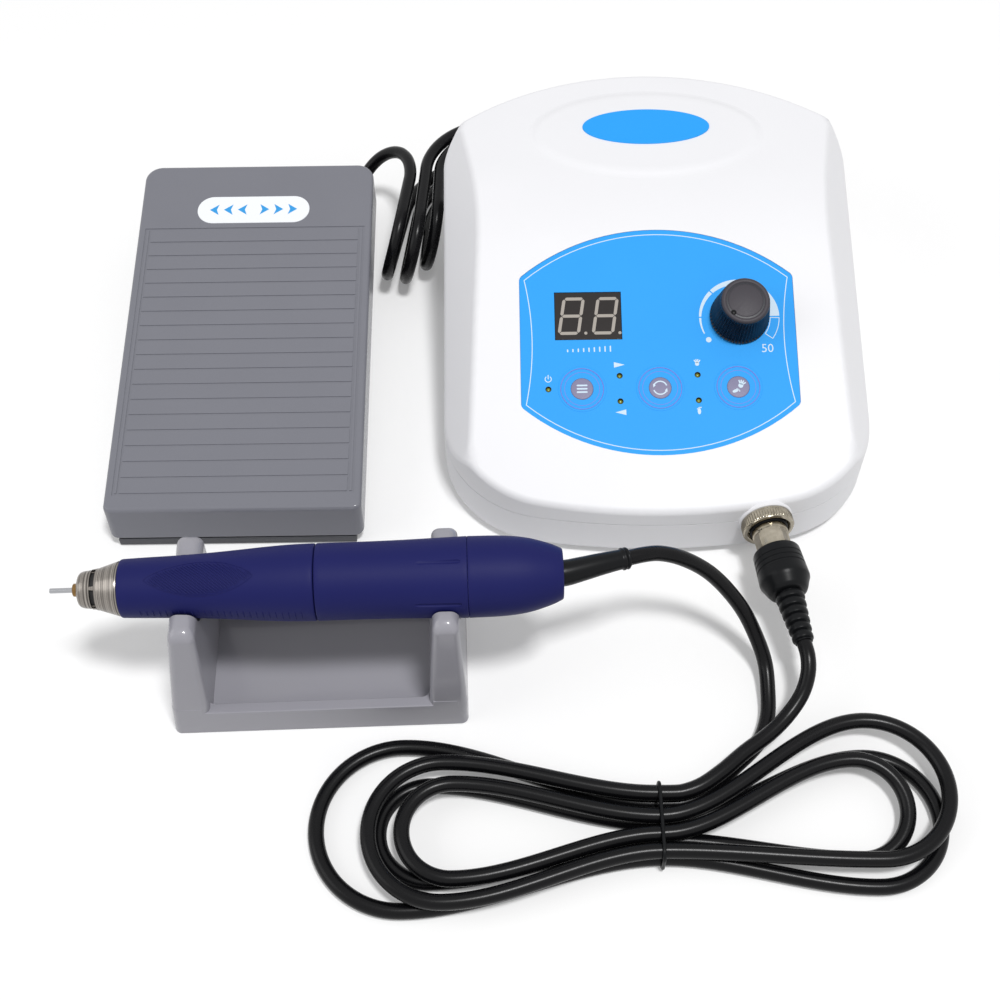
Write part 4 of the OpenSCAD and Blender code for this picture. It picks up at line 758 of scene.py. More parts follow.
        LOG.info("%s: %d faces", name, len(mesh.polygons))
        return obj


def arc(cx: float, cy: float, r: float, a0: float, a1: float, n: int) -> list[Pair]:
    """Points of an arc, with angles in degrees."""
    turns = [math.radians(a0 + (a1 - a0) * k / n) for k in range(n + 1)]
    return [(cx + r * math.cos(a), cy + r * math.sin(a)) for a in turns]


def oval(w: float, h: float, n: int = 96) -> list[Pair]:
    """Points of an oval of that width and depth."""
    return [(w / 2 * math.cos(2 * math.pi * k / n), h / 2 * math.sin(2 * math.pi * k / n)) for k in range(n)]


def rounded(w: float, h: float, r: float, n: int = 8) -> list[Pair]:
    """Points of a rectangle with round corners."""
    x, y = w / 2 - r, h / 2 - r
    return (arc(x, -y, r, -90, 0, n) + arc(x, y, r, 0, 90, n) + arc(-x, y, r, 90, 180, n)
            + arc(-x, -y, r, 180, 270, n))


def shifted(points: Iterable[Pair], dx: float, dy: float) -> list[Pair]:
    """Points moved in plan."""
    return [(x + dx, y + dy) for x, y in points]


def smooth(u: float) -> float:
    """Eases from 0 to 1."""
    return u * u * (3 - 2 * u)


def flow(points: Sequence[Sequence[float]], step: float) -> Route:
    """Draws a smooth route through points.

    Args:
        points: points to pass through.
        step: spacing of the points of the route.

    Returns:
        Points at even spacing along the route.
    """
    pts = [Vector(p) for p in points]
    pts = [2 * pts[0] - pts[1]] + pts + [2 * pts[-1] - pts[-2]]
    fine: Route = []
    for p0, p1, p2, p3 in zip(pts, pts[1:], pts[2:], pts[3:]):
        t1 = max((p1 - p0).length, 1e-6) ** 0.5
        t2 = t1 + max((p2 - p1).length, 1e-6) ** 0.5
        t3 = t2 + max((p3 - p2).length, 1e-6) ** 0.5
        count = max(2, int((p2 - p1).length / step * 3))
        for k in range(count):
            t = t1 + (t2 - t1) * k / count
            a1 = p0 * ((t1 - t) / t1) + p1 * (t / t1)
            a2 = p1 * ((t2 - t) / (t2 - t1)) + p2 * ((t - t1) / (t2 - t1))
            a3 = p2 * ((t3 - t) / (t3 - t2)) + p3 * ((t - t2) / (t3 - t2))
            b1 = a1 * ((t2 - t) / t2) + a2 * (t / t2)
            b2 = a2 * ((t3 - t) / (t3 - t1)) + a3 * ((t - t1) / (t3 - t1))
            fine.append(b1 * ((t2 - t) / (t2 - t1)) + b2 * ((t - t1) / (t2 - t1)))
    fine.append(pts[-2])
    total = sum((b - a).length for a, b in zip(fine, fine[1:]))
    count = max(2, round(total / step))
    out, gone, want = [fine[0]], 0.0, total / count
    for a, b in zip(fine, fine[1:]):
        span = (b - a).length
        while want <= gone + span + 1e-9 and len(out) < count:
            out.append(a.lerp(b, (want - gone) / span))
            want += total / count
        gone += span
    return out + [fine[-1]]


def length_of(route: Route) -> float:
    """Length of a route."""
    return sum((b - a).length for a, b in zip(route, route[1:]))


def profile_through(points: Sequence[Pair], step: float = 1.5) -> list[Pair]:
    """Smooths a turned profile given as (distance along the axis, radius) into (radius, distance)."""
    return [(p.y, p.x) for p in flow([(x, r, 0.0) for x, r in points], step)]


def dress(look: Finish, *nodes: str) -> None:
    """Gives CAD nodes that stay in the scene a finish."""
    for node in nodes:
        obj = frame["nodes"][node]
        obj.data.materials.clear()
        obj.data.materials.append(look.material())


@dataclass(frozen=True)
class Lamp:
    """A square soft lamp, in metres and watts, aimed at a point."""

    name: str
    place: Triple
    aim: Triple
    size: float
    power: float

    def hang(self) -> None:
        """Puts the lamp in the scene."""
        light = bpy.data.lights.new(self.name, "AREA")
        light.size, light.energy = self.size, self.power
        obj = bpy.data.objects.new(self.name, light)
        bpy.context.scene.collection.objects.link(obj)
        way = Vector(self.aim) - Vector(self.place)
        obj.matrix_world = at(*self.place) @ way.to_track_quat("-Z", "Y").to_matrix().to_4x4()
        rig.stage(obj)


@dataclass
class Studio:
    """Camera, lamps and floor."""

    eye: Triple = (5.5, -365.8, 476.7)
    pitch: float = 55.0
    roll: float = 0.75
    lens: float = 54.0
    sensor: float = 36.0
    clip: Pair = (0.01, 50.0)
    floor_size: float = 6.0
    paper_glow: float = 0.2
    fill: float = 0.38
    lamps: tuple[Lamp, ...] = (Lamp("key_softbox", (0.44, -0.64, 2.6), (0.0, 0.0, 0.0), 0.4, 48.0),
                               Lamp("left_softbox", (-1.6, -0.3, 1.1), (0.0, 0.0, 0.03), 1.2, 6.5))

    def build(self) -> None:
        """Puts up the camera, the floor, the lamps and the world."""
        scene = bpy.context.scene
        scene.view_settings.view_transform = "Standard"
        camera = bpy.data.cameras.new("camera")
        camera.lens, camera.sensor_width = self.lens, self.sensor
        camera.clip_start, camera.clip_end = self.clip
        seat = bpy.data.objects.new("camera", camera)
        scene.collection.objects.link(seat)
        seat.matrix_world = (at(*(v * MM for v in self.eye)) @ turn(90 - self.pitch, "X") @ turn(-self.roll, "Z"))
        scene.camera = seat
        bm = bmesh.new()
        bmesh.ops.create_grid(bm, x_segments=1, y_segments=1, size=self.floor_size / 2)
        mesh = bpy.data.meshes.new("floor")
        bm.to_mesh(mesh)
        bm.free()
        mesh.materials.append(self.paper())
        floor = bpy.data.objects.new("floor", mesh)
        scene.collection.objects.link(floor)
        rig.stage(floor)
        for lamp in self.lamps:
            lamp.hang()
        self.sky()

    def paper(self) -> bpy.types.Material:
        """White paper that keeps the shadow: pure white to the eye and in reflections."""
        made = bpy.data.materials.new("white_backdrop_paper")
        made.use_nodes = True
        tree = made.node_tree
        tree.nodes.clear()
        seen = self.seen(tree)
        matt = add_node(tree, "ShaderNodeBsdfDiffuse", inputs={"Color": linear("#FCFCFC")})
        glow = add_node(tree, "ShaderNodeEmission", inputs={"Color": (1.0, 1.0, 1.0, 1.0)}, links={"Strength": seen})
        both = add_node(tree, "ShaderNodeMixShader", inputs={0: self.paper_glow},
                        links={1: matt.outputs[0], 2: glow.outputs[0]})
        add_node(tree, "ShaderNodeOutputMaterial", links={"Surface": both.outputs[0]})
        return made

    def seen(self, tree: Tree) -> Socket:
        """Is 1 for what the camera sees, straight, mirrored or through glass."""
        rays = add_node(tree, "ShaderNodeLightPath")
        first = add_node(tree, "ShaderNodeMath", {"operation": "MAXIMUM"},
                         links={0: rays.outputs["Is Camera Ray"], 1: rays.outputs["Is Glossy Ray"]})
        return add_node(tree, "ShaderNodeMath", {"operation": "MAXIMUM"},
                        links={0: first.outputs[0], 1: rays.outputs["Is Transmission Ray"]}).outputs[0]

    def sky(self) -> None:
        """A white room: white to the eye, and a plain soft fill as light."""
        world = bpy.data.worlds.new("white_room")
        bpy.context.scene.world = world
        world.use_nodes = True
        tree = world.node_tree
        tree.nodes.clear()
        level = add_node(tree, "ShaderNodeMapRange", inputs={"To Min": self.fill, "To Max": 1.0},
                         links={"Value": self.seen(tree)})
        light = add_node(tree, "ShaderNodeBackground", inputs={"Color": (1.0, 1.0, 1.0, 1.0)},
                         links={"Strength": level.outputs["Result"]})
        add_node(tree, "ShaderNodeOutputWorld", links={"Surface": light.outputs[0]})


@dataclass
class Cords:
    """Handpiece cord with its tied hank, and pedal cord with its oval coil."""

    cord_dia: float = 5.4
    foot_dia: float = 5.2
    fold_out: float = 0.28
    steps: int = 48
    stub: float = 6.0
    strand_gap: float = 0.6
    layer_gap: float = 0.7
    floor_gap: float = 0.1
    tie: Pair = (57.5, -170.0)
    tie_shift: float = 1.1
    tie_room: Pair = (3.4, 2.9)
    tie_corner: float = 3.2
    tie_wire: float = 0.65
    motor_folds: list[tuple[float, ...]] = field(default_factory=lambda: [
        (-1, 115, 29, 3, 1), (1, 94, 23, 3, -1), (-1, 94, 17, 0.5, 1), (1, 83, 16.5, 6, -1),
        (-1, 86, 16.6, -1, -1), (1, 97, 25, 12, 1), (-1, 97, 24.4, -1, -1)])
    motor_slots: list[Pair] = field(default_factory=lambda: [
        (1.68, 0), (-1.5, 0), (0.5, 0), (-0.5, 0), (-0.5, 1), (0.54, 1), (-1.5, 1), (1.88, 1)])
    boot_end: Triple = (48.0, -95.0, 55.3)
    boot_run: Triple = (0.932, 0.322, -0.168)
    plug_end: Triple = (110.644, -108.227, 20.0)
    foot_half: float = 15.7
    foot_lean: float = 80.0
    foot_line: float = -20.8
    foot_turn: float = 118.0
    foot_slant: float = 10.0
    foot_radius: float = 27.0
    foot_waist: float = -18.0
    foot_fan: float = 0.0085
    gland_end: Triple = (-57.0, 111.0, 6.8)
    jack_end: Triple = (99.5, 153.0, 27.0)
    motor: Route = field(init=False)
    foot: Route = field(init=False)
    motor_piece: Piece = field(init=False)
    foot_piece: Piece = field(init=False)

    @property
    def step(self) -> float:
        """Spacing of the strands at the tie."""
        return self.cord_dia + self.strand_gap

    @property
    def low(self) -> float:
        """Height of the lower strands."""
        return self.cord_dia / 2 + self.floor_gap

    @property
    def high(self) -> float:
        """Height of the upper strands."""
        return self.low + self.cord_dia + self.layer_gap

    def fold(self, f: Sequence[float], w0: Pair, w1: Pair) -> list[Triple]:
        """One fold: out from the waist, round a half circle and back.

        Args:
            f: side, reach, half width, shift and sense of the fold.
            w0: slot at the waist that it leaves, as place across and height.
            w1: slot that it comes back to.

        Returns:
            Points of the fold.
        """
        run, out = f[1] - f[2], []
        for k in range(1, self.steps + 1):
            u = k / self.steps
            mid = (u - self.fold_out) / (1 - 2 * self.fold_out)
            z = w0[1] + (w1[1] - w0[1]) * smooth(min(max(mid, 0), 1))
            b, t = math.radians(90 - 180 * mid), min(u, 1 - u) / self.fold_out
            w = w0[0] if u < 0.5 else w1[0]
            e = f[3] + f[4] * f[2] * (1 if u < 0.5 else -1)
            out.append((f[0] * run * t, w + (e - w) * smooth(t), z) if t <= 1 else
                       (f[0] * (run + f[2] * math.cos(b)), f[3] + f[4] * f[2] * math.sin(b), z))
        return out

    def hank(self, folds: Sequence[Sequence[float]], slots: Sequence[Pair]) -> list[Triple]:
        """All folds of a hank with a short stub at each end."""
        points = [(-folds[0][0] * self.stub, *slots[0]), (0.0, *slots[0])]
        for j, f in enumerate(folds):
            points += self.fold(f, slots[j], slots[j + 1])
        return points + [(-folds[-1][0] * self.stub, *slots[-1])]

    def motor_route(self) -> list[Vector]:
        """Points of the handpiece cord from the boot to the plug."""
        slots = [(a * self.step, self.high if layer else self.low) for a, layer in self.motor_slots]
        hank = [Vector((self.tie[0] + x, self.tie[1] + y, z)) for x, y, z in self.hank(self.motor_folds, slots)]
        end, run, low = Vector(self.boot_end), Vector(self.boot_run), self.low
        lead = [end - 0.2 * run, end + 6 * run, (59, -91.2, 52), (67, -90.4, 47.6), (78, -91, 38), (89, -96, 25),
                (95, -102, 15), (98.5, -109, 8), (99, -118.5, 4.5), (98, -128, low), (94, -137.5, low),
                (85, -146.6, low), (76, -154.4, low), (70, -158.3, low), hank[0] + Vector((1.9, 0.15, 0))]
        plug = Vector(self.plug_end)
        back = [hank[-1] + Vector((2.1, 0.25, 0)), (71.5, -156.5, 9.2), (79, -151.6, 9.5), (87.5, -144.6, 9.6),
                (97, -137.6, 9.8), (104, -131, 11), (109, -124.5, 13.8), (111.2, -118.4, 17.4),
                plug + Vector((0.7, -5, -0.4)), plug, plug + Vector((-0.43, 2.97, 0))]
        return [Vector(p) for p in lead + hank + back]

    def bent(self, s: float, y: float) -> Pair:
        """Fans the coil ahead of the bend, bends it round the rear corner of the box and slants it.

        Args:
            s: distance along the coil from the start of its bend.
            y: distance across the coil.

        Returns:
            The place in plan.
        """
        r, turned = self.foot_radius, math.radians(90 - self.foot_slant)
        a = min(max(s, 0.0) / r, turned)
        e = max(s - r * turned, 0.0) + min(s, 0.0)
        u = r - (r - y) * math.cos(a) + e * math.sin(a)
        v = (r - y) * math.sin(a) + e * math.cos(a)
        c, n = math.cos(math.radians(self.foot_slant)), math.sin(math.radians(self.foot_slant))
        return self.foot_line + u * c + v * n, self.foot_turn - u * n + v * c

    def foot_hank(self) -> Route:
        """Points of the coil of the pedal cord, which stands behind the box."""
        h, lean = self.foot_half, math.radians(self.foot_lean)
        step = self.foot_dia + self.layer_gap
        edge = -h * math.cos(lean) - 2 * step * math.sin(lean)
        folds = [(1, 28, h, 0, 1), (-1, 62, h, 0, -1), (1, 28, h, 0, 1), (-1, 60, h, 0, -1), (1, 18, h, 0, 1)]
        slots = [(h if k % 2 == 0 else -h, (2 - k // 2) * step) for k in range(6)]
        points = []
        for q0, q1, q2 in self.hank(folds, slots):
            s, y = self.foot_waist - q0, q1 * math.cos(lean) - q2 * math.sin(lean)
            z = q1 * math.sin(lean) + q2 * math.cos(lean) + h * math.sin(lean) + self.foot_dia / 2 + self.floor_gap
            points.append(Vector((*self.bent(s, edge + (y - edge) * (1 + self.foot_fan * max(-s, 0.0))), z)))
        return points

    def foot_route(self) -> list[Vector]:
        """Points of the pedal cord from the pedal to its jack."""
        hank, gland, jack = self.foot_hank(), Vector(self.gland_end), Vector(self.jack_end)
        into, out = (hank[0] - hank[1]).normalized(), (hank[-1] - hank[-2]).normalized()
        lead = [gland - Vector((0, 2, 0)), gland + Vector((0, 5.4, 0.5)), (-56.4, 122.2, 10.2), (-54.2, 127.2, 15.2),
                (-50.4, 130.8, 20.8), (-45.4, 132.2, 26.2), (-40.2, 130.9, 30.7), (-35.6, 127.4, 33.8),
                (-32.4, 122.2, 35.3), (-30.9, 116.4, 35.7), hank[0] + 3 * into]
        tail = [hank[-1] + 2 * out, (-24.5, 112.6, 2.7), (-23, 120.6, 2.7), (-19.6, 128.7, 2.7), (-14, 135.5, 2.7),
                (-6.7, 140.3, 2.7), (0.6, 142.5, 2.7), (8, 143.2, 2.7), (18, 144.6, 2.8), (30, 148, 3.2),
                (43, 153.8, 5), (56.4, 161, 9), (69.4, 167.6, 14), (80.4, 171, 18.6), (89.4, 170.8, 22.6),
                (95.8, 167, 25.2), (99, 160.6, 26.7), jack + Vector((0, 3.6, 0)), jack, jack - Vector((0, 2, 0))]
        return [Vector(p) for p in lead + hank + tail]

    def build(self) -> None:
        """Lays both cords and the tie."""
        step = 3.0 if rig.quick() else 1.6
        self.motor = flow(self.motor_route(), step)
        self.motor_piece = Shape().tube(self.motor, self.cord_dia / 2).finish(
            "handpiece_cord_jacket", Look.CORD, Body.ROOT, "handpiece_cord", "handpiece_hank", "plug_cord",
            ride=False)
        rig.blend(self.motor_piece, Body.HANDPIECE.value, Body.ROOT.value,
                 [v * MM for v in self.boot_end], [self.boot_end[0] * MM, self.boot_end[1] * MM, 0.023])
        self.foot = flow(self.foot_route(), step)
        self.foot_piece = Shape().tube(self.foot, self.foot_dia / 2).finish(
            "pedal_cord_jacket", Look.CORD, Body.ROOT, "pedal_cord", "pedal_hank", "jack_cord")
        self.tie_piece().finish("cord_tie_wire", Look.PLUG, Body.ROOT, "cord_tie", sharp=50)

    def tie_piece(self) -> Shape:
        """Thin coated wire tie, a plain band round the waist of the hank."""
        w, h = 4 * self.step + self.tie_room[0], self.high + self.tie_room[1]
        ring = [Vector((self.tie[0], self.tie[1] + self.tie_shift + y, h / 2 + 0.15 + z))
                for y, z in rounded(w, h, self.tie_corner)]
        band = Shape().tube(flow(ring + [ring[0]], 0.8), self.tie_wire, 8)
        for v in band.bm.verts:
            v.co.z = max(v.co.z, 0.0)
        return band

    def declare(self, plug: Iterable[Piece], jack: Iterable[Piece]) -> None:
        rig.cord(self.motor_piece, self.motor[0] * MM, length_of(self.motor) * MM, self.cord_dia * MM, "connector",
                "medium", "coiled" if "coiled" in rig.LAYS else "loose", [p * MM for p in self.motor], list(plug))
        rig.cord(self.foot_piece, self.foot[0] * MM, length_of(self.foot) * MM, self.foot_dia * MM, "connector",
                "medium", "coiled" if "coiled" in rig.LAYS else "loose", [p * MM for p in self.foot], list(jack))


@dataclass
class BoxForm:
    """Outer form of the control box: a bowed plan under a sloping panel, a level roof and side bevels."""

    width: float = 162.0
    front: float = -26.5
    rear: float = 163.0
    front_radius: float = 260.0
    front_corner: float = 42.0
    rear_radius: float = 114.0
    rear_corner: float = 10.0
    panel_low: float = 28.9
    panel_y: float = -24.0
    tilt: float = 20.0
    roof_bend: float = 74.0
    roof_radius: float = 110.0
    bevel_y: float = 18.0
    bevel_height: float = 26.2
    bevel_rise: float = 16.0
    bevel_lean: float = 57.0
    rim: float = 2.2
    crease: float = 2.4
    crease_reach: float = 1.7
    least_fold: float = 4.2
    spine: Pair = (28.0, 118.0)
    wall_step: float = 3.0
    place: Matrix = field(default_factory=lambda: at(65.5, -32.0, 0.0))

    @property
    def panel(self) -> Matrix:
        """Place of the sloping panel: x across, y up the slope, z out of it."""
        return self.place @ at(0, self.panel_y, self.panel_low) @ turn(self.tilt, "X")

    @property
    def roof_y(self) -> float:
        """Where the roof turns level."""
        return self.roof_bend + self.roof_radius * math.sin(math.radians(self.tilt))

    @property
    def roof_z(self) -> float:
        """Height of the level roof."""
        tilt = math.radians(self.tilt)
        return (self.panel_low + (self.roof_bend - self.panel_y) * math.tan(tilt)
                + self.roof_radius * (1 - math.cos(tilt)))

    @property
    def bevel_way(self) -> Vector:
        """Way that the bevel of the right side faces."""
        return turn(self.bevel_rise, "X") @ turn(self.bevel_lean, "Y") @ Vector((0, 0, 1))

    def front_at(self, x: float) -> float:
        """Place of the bowed front at x."""
        return self.front + self.front_radius - math.sqrt(self.front_radius ** 2 - x * x)

    def outline(self, i: float) -> list[Pair]:
        """Plan outline drawn in by i."""
        fcy, rcy = self.front + self.front_radius, self.rear - self.rear_radius
        hw, fr, cr = self.width / 2 - i, self.front_radius - i, self.front_corner - i
        rr, rc = self.rear_radius - i, self.rear_corner - i
        cx, bx = hw - cr, hw - rc
        cy = fcy - math.sqrt((fr - cr) ** 2 - cx * cx)
        by = rcy + math.sqrt((rr - rc) ** 2 - bx * bx)
        af, ab = math.degrees(math.atan2(cy - fcy, cx)), math.degrees(math.atan2(by - rcy, bx))
        runs = [arc(0, fcy, fr, -180 - af, af, 24), arc(cx, cy, cr, af, 0, 20), arc(bx, by, rc, 0, ab, 8),
                arc(0, rcy, rr, ab, 180 - ab, 40), arc(-bx, by, rc, 180 - ab, 180, 8),
                arc(-cx, cy, cr, 180, 180 - af, 20)]
        points: list[Pair] = []
        for p in (q for run in runs for q in run):
            if not points or math.dist(p, points[-1]) > 1e-3:
                points.append(p)
        return points[:-1] if math.dist(points[0], points[-1]) < 1e-3 else points

    def planes(self, i: float) -> list[tuple[Vector, Vector]]:
        """Planes that cut the roof and the side bevels, lowered by i, as point and outward normal."""
        tilt, r = math.radians(self.tilt), self.roof_radius - i
        low = Vector((0, self.panel_y, self.panel_low - i / math.cos(tilt)))
        cuts = [(low, Vector((0, -math.sin(tilt), math.cos(tilt)))),
                (Vector((0, 0, self.roof_z - i)), Vector((0, 0, 1)))]
        facets, lean = 10, self.bevel_way
        mid = r * math.cos(tilt / (2 * facets))
        for k in range(facets):
            a = tilt * (k + 0.5) / facets
            across, up = math.sin(a), math.cos(a)
            point = Vector((0, self.roof_y - mid * across, self.roof_z - self.roof_radius + mid * up))
            cuts.append((point, Vector((0, -across, up))))
        for side in (-1, 1):
            normal = Vector((side * lean.x, lean.y, lean.z))
            cuts.append((Vector((side * self.width / 2, self.bevel_y, self.bevel_height)) - i * normal, normal))
        return cuts

    def solid(self, i: float, low: float) -> Shape:
        """The form above a height, drawn in by i, with sharp creases.

        Args:
            i: how far it is drawn in.
            low: height it starts from.

        Returns:
            A closed shape in the box's own place.
        """
        shape = Shape().prism(self.outline(i), low, 130.0)
        bm = shape.bm
        for point, normal in self.planes(i):
            cut = bmesh.ops.bisect_plane(bm, geom=bm.verts[:] + bm.edges[:] + bm.faces[:], dist=1e-4, plane_co=point,
                                         plane_no=normal, clear_outer=True)["geom_cut"]
            edges = [e for e in cut if isinstance(e, bmesh.types.BMEdge)]
            if edges:
                bmesh.ops.contextual_create(bm, geom=edges)
        bmesh.ops.remove_doubles(bm, verts=bm.verts[:], dist=0.01)
        bmesh.ops.recalc_face_normals(bm, faces=bm.faces[:])
        return shape

    def top_at(self, y: float) -> float:
        """Height of the panel and roof at y."""
        r = self.roof_radius
        if y <= self.roof_bend:
            return self.panel_low + (y - self.panel_y) * math.tan(math.radians(self.tilt))
        return self.roof_z - (r - math.sqrt(r * r - max(self.roof_y - y, 0.0) ** 2))

    def bevel_at(self, x: float, y: float) -> float:
        """Height of the side bevel over a point of the plan."""
        lean = self.bevel_way
        return self.bevel_height - (lean.x * (abs(x) - self.width / 2) + lean.y * (y - self.bevel_y)) / lean.z

    def height(self, x: float, y: float) -> float:
        """Height of the form over a point of the plan, with a soft crease along the side bevel."""
        a, b = self.top_at(y), self.bevel_at(x, y)
        h = max(self.crease - abs(a - b), 0.0) / self.crease
        return min(a, b) - h * h * self.crease / 4

    def rays(self) -> list[list[Triple]]:
        """Lines from the wall to the middle, each as points of plan place and height.

        Points lie close together at the rim and at the crease, so that both stay crisp.
        """
        first = self.outline(0.0)
        wall: list[Pair] = []
        for (ax, ay), (bx, by) in zip(first, first[1:] + first[:1]):
            n = max(1, math.ceil(math.dist((ax, ay), (bx, by)) / self.wall_step))
            wall += [(ax + (bx - ax) * k / n, ay + (by - ay) * k / n) for k in range(n)]
        made, probe, near = [], 0.25, self.crease_reach
        for p in wall:
            a, b = Vector(p), Vector((0.0, min(max(p[1], self.spine[0]), self.spine[1])))
            span, way = (b - a).length, (b - a).normalized()
            drops = [a + way * probe * k for k in range(int(span / probe))]
            under = [self.bevel_at(q.x, q.y) < self.top_at(q.y) for q in drops]
            fold = max(probe * under.index(False) if under[0] and False in under else 0.0, self.least_fold)
            slope = (self.height(*(a + way * 3)) - self.height(*a)) / 3
            r = self.rim / math.sqrt(1 + slope * slope)
            steps = [r * (1 - math.cos(math.radians(15 * k))) for k in range(7)]
            steps += [r + (fold - near - r) * k / 5 for k in range(1, 5)]
            steps += [fold - 1.6 + 0.4 * k for k in range(9)]
            steps += [fold + near + (span - fold - near) * k / 10 for k in range(1, 11)]
            line = []
            for d in steps:
                q = a + way * d
                drop = r - math.sqrt(r * r - (r - d) ** 2) if d < r else 0.0
                line.append((q.x, q.y, self.height(q.x, q.y) - drop))
            made.append(line)
        return made

    def rounded_solid(self, low: float) -> Shape:
        """The outer form above a height, with its rim and creases rounded.

        Args:
            low: height it starts from.

        Returns:
            A closed shape in the box's own place.
        """
        bm = bmesh.new()
        rows = []
        for line in self.rays():
            x, y, _ = line[0]
            rows.append([bm.verts.new((x, y, low))] + [bm.verts.new((u, v, max(z, low + 0.8))) for u, v, z in line])
        for a, b in zip(rows, rows[1:] + rows[:1]):
            for k in range(len(a) - 1):
                bm.faces.new((a[k], b[k], b[k + 1], a[k + 1]))
        bm.faces.new([row[0] for row in rows][::-1])
        bmesh.ops.remove_doubles(bm, verts=bm.verts[:], dist=0.004)
        return Shape().join(bm)


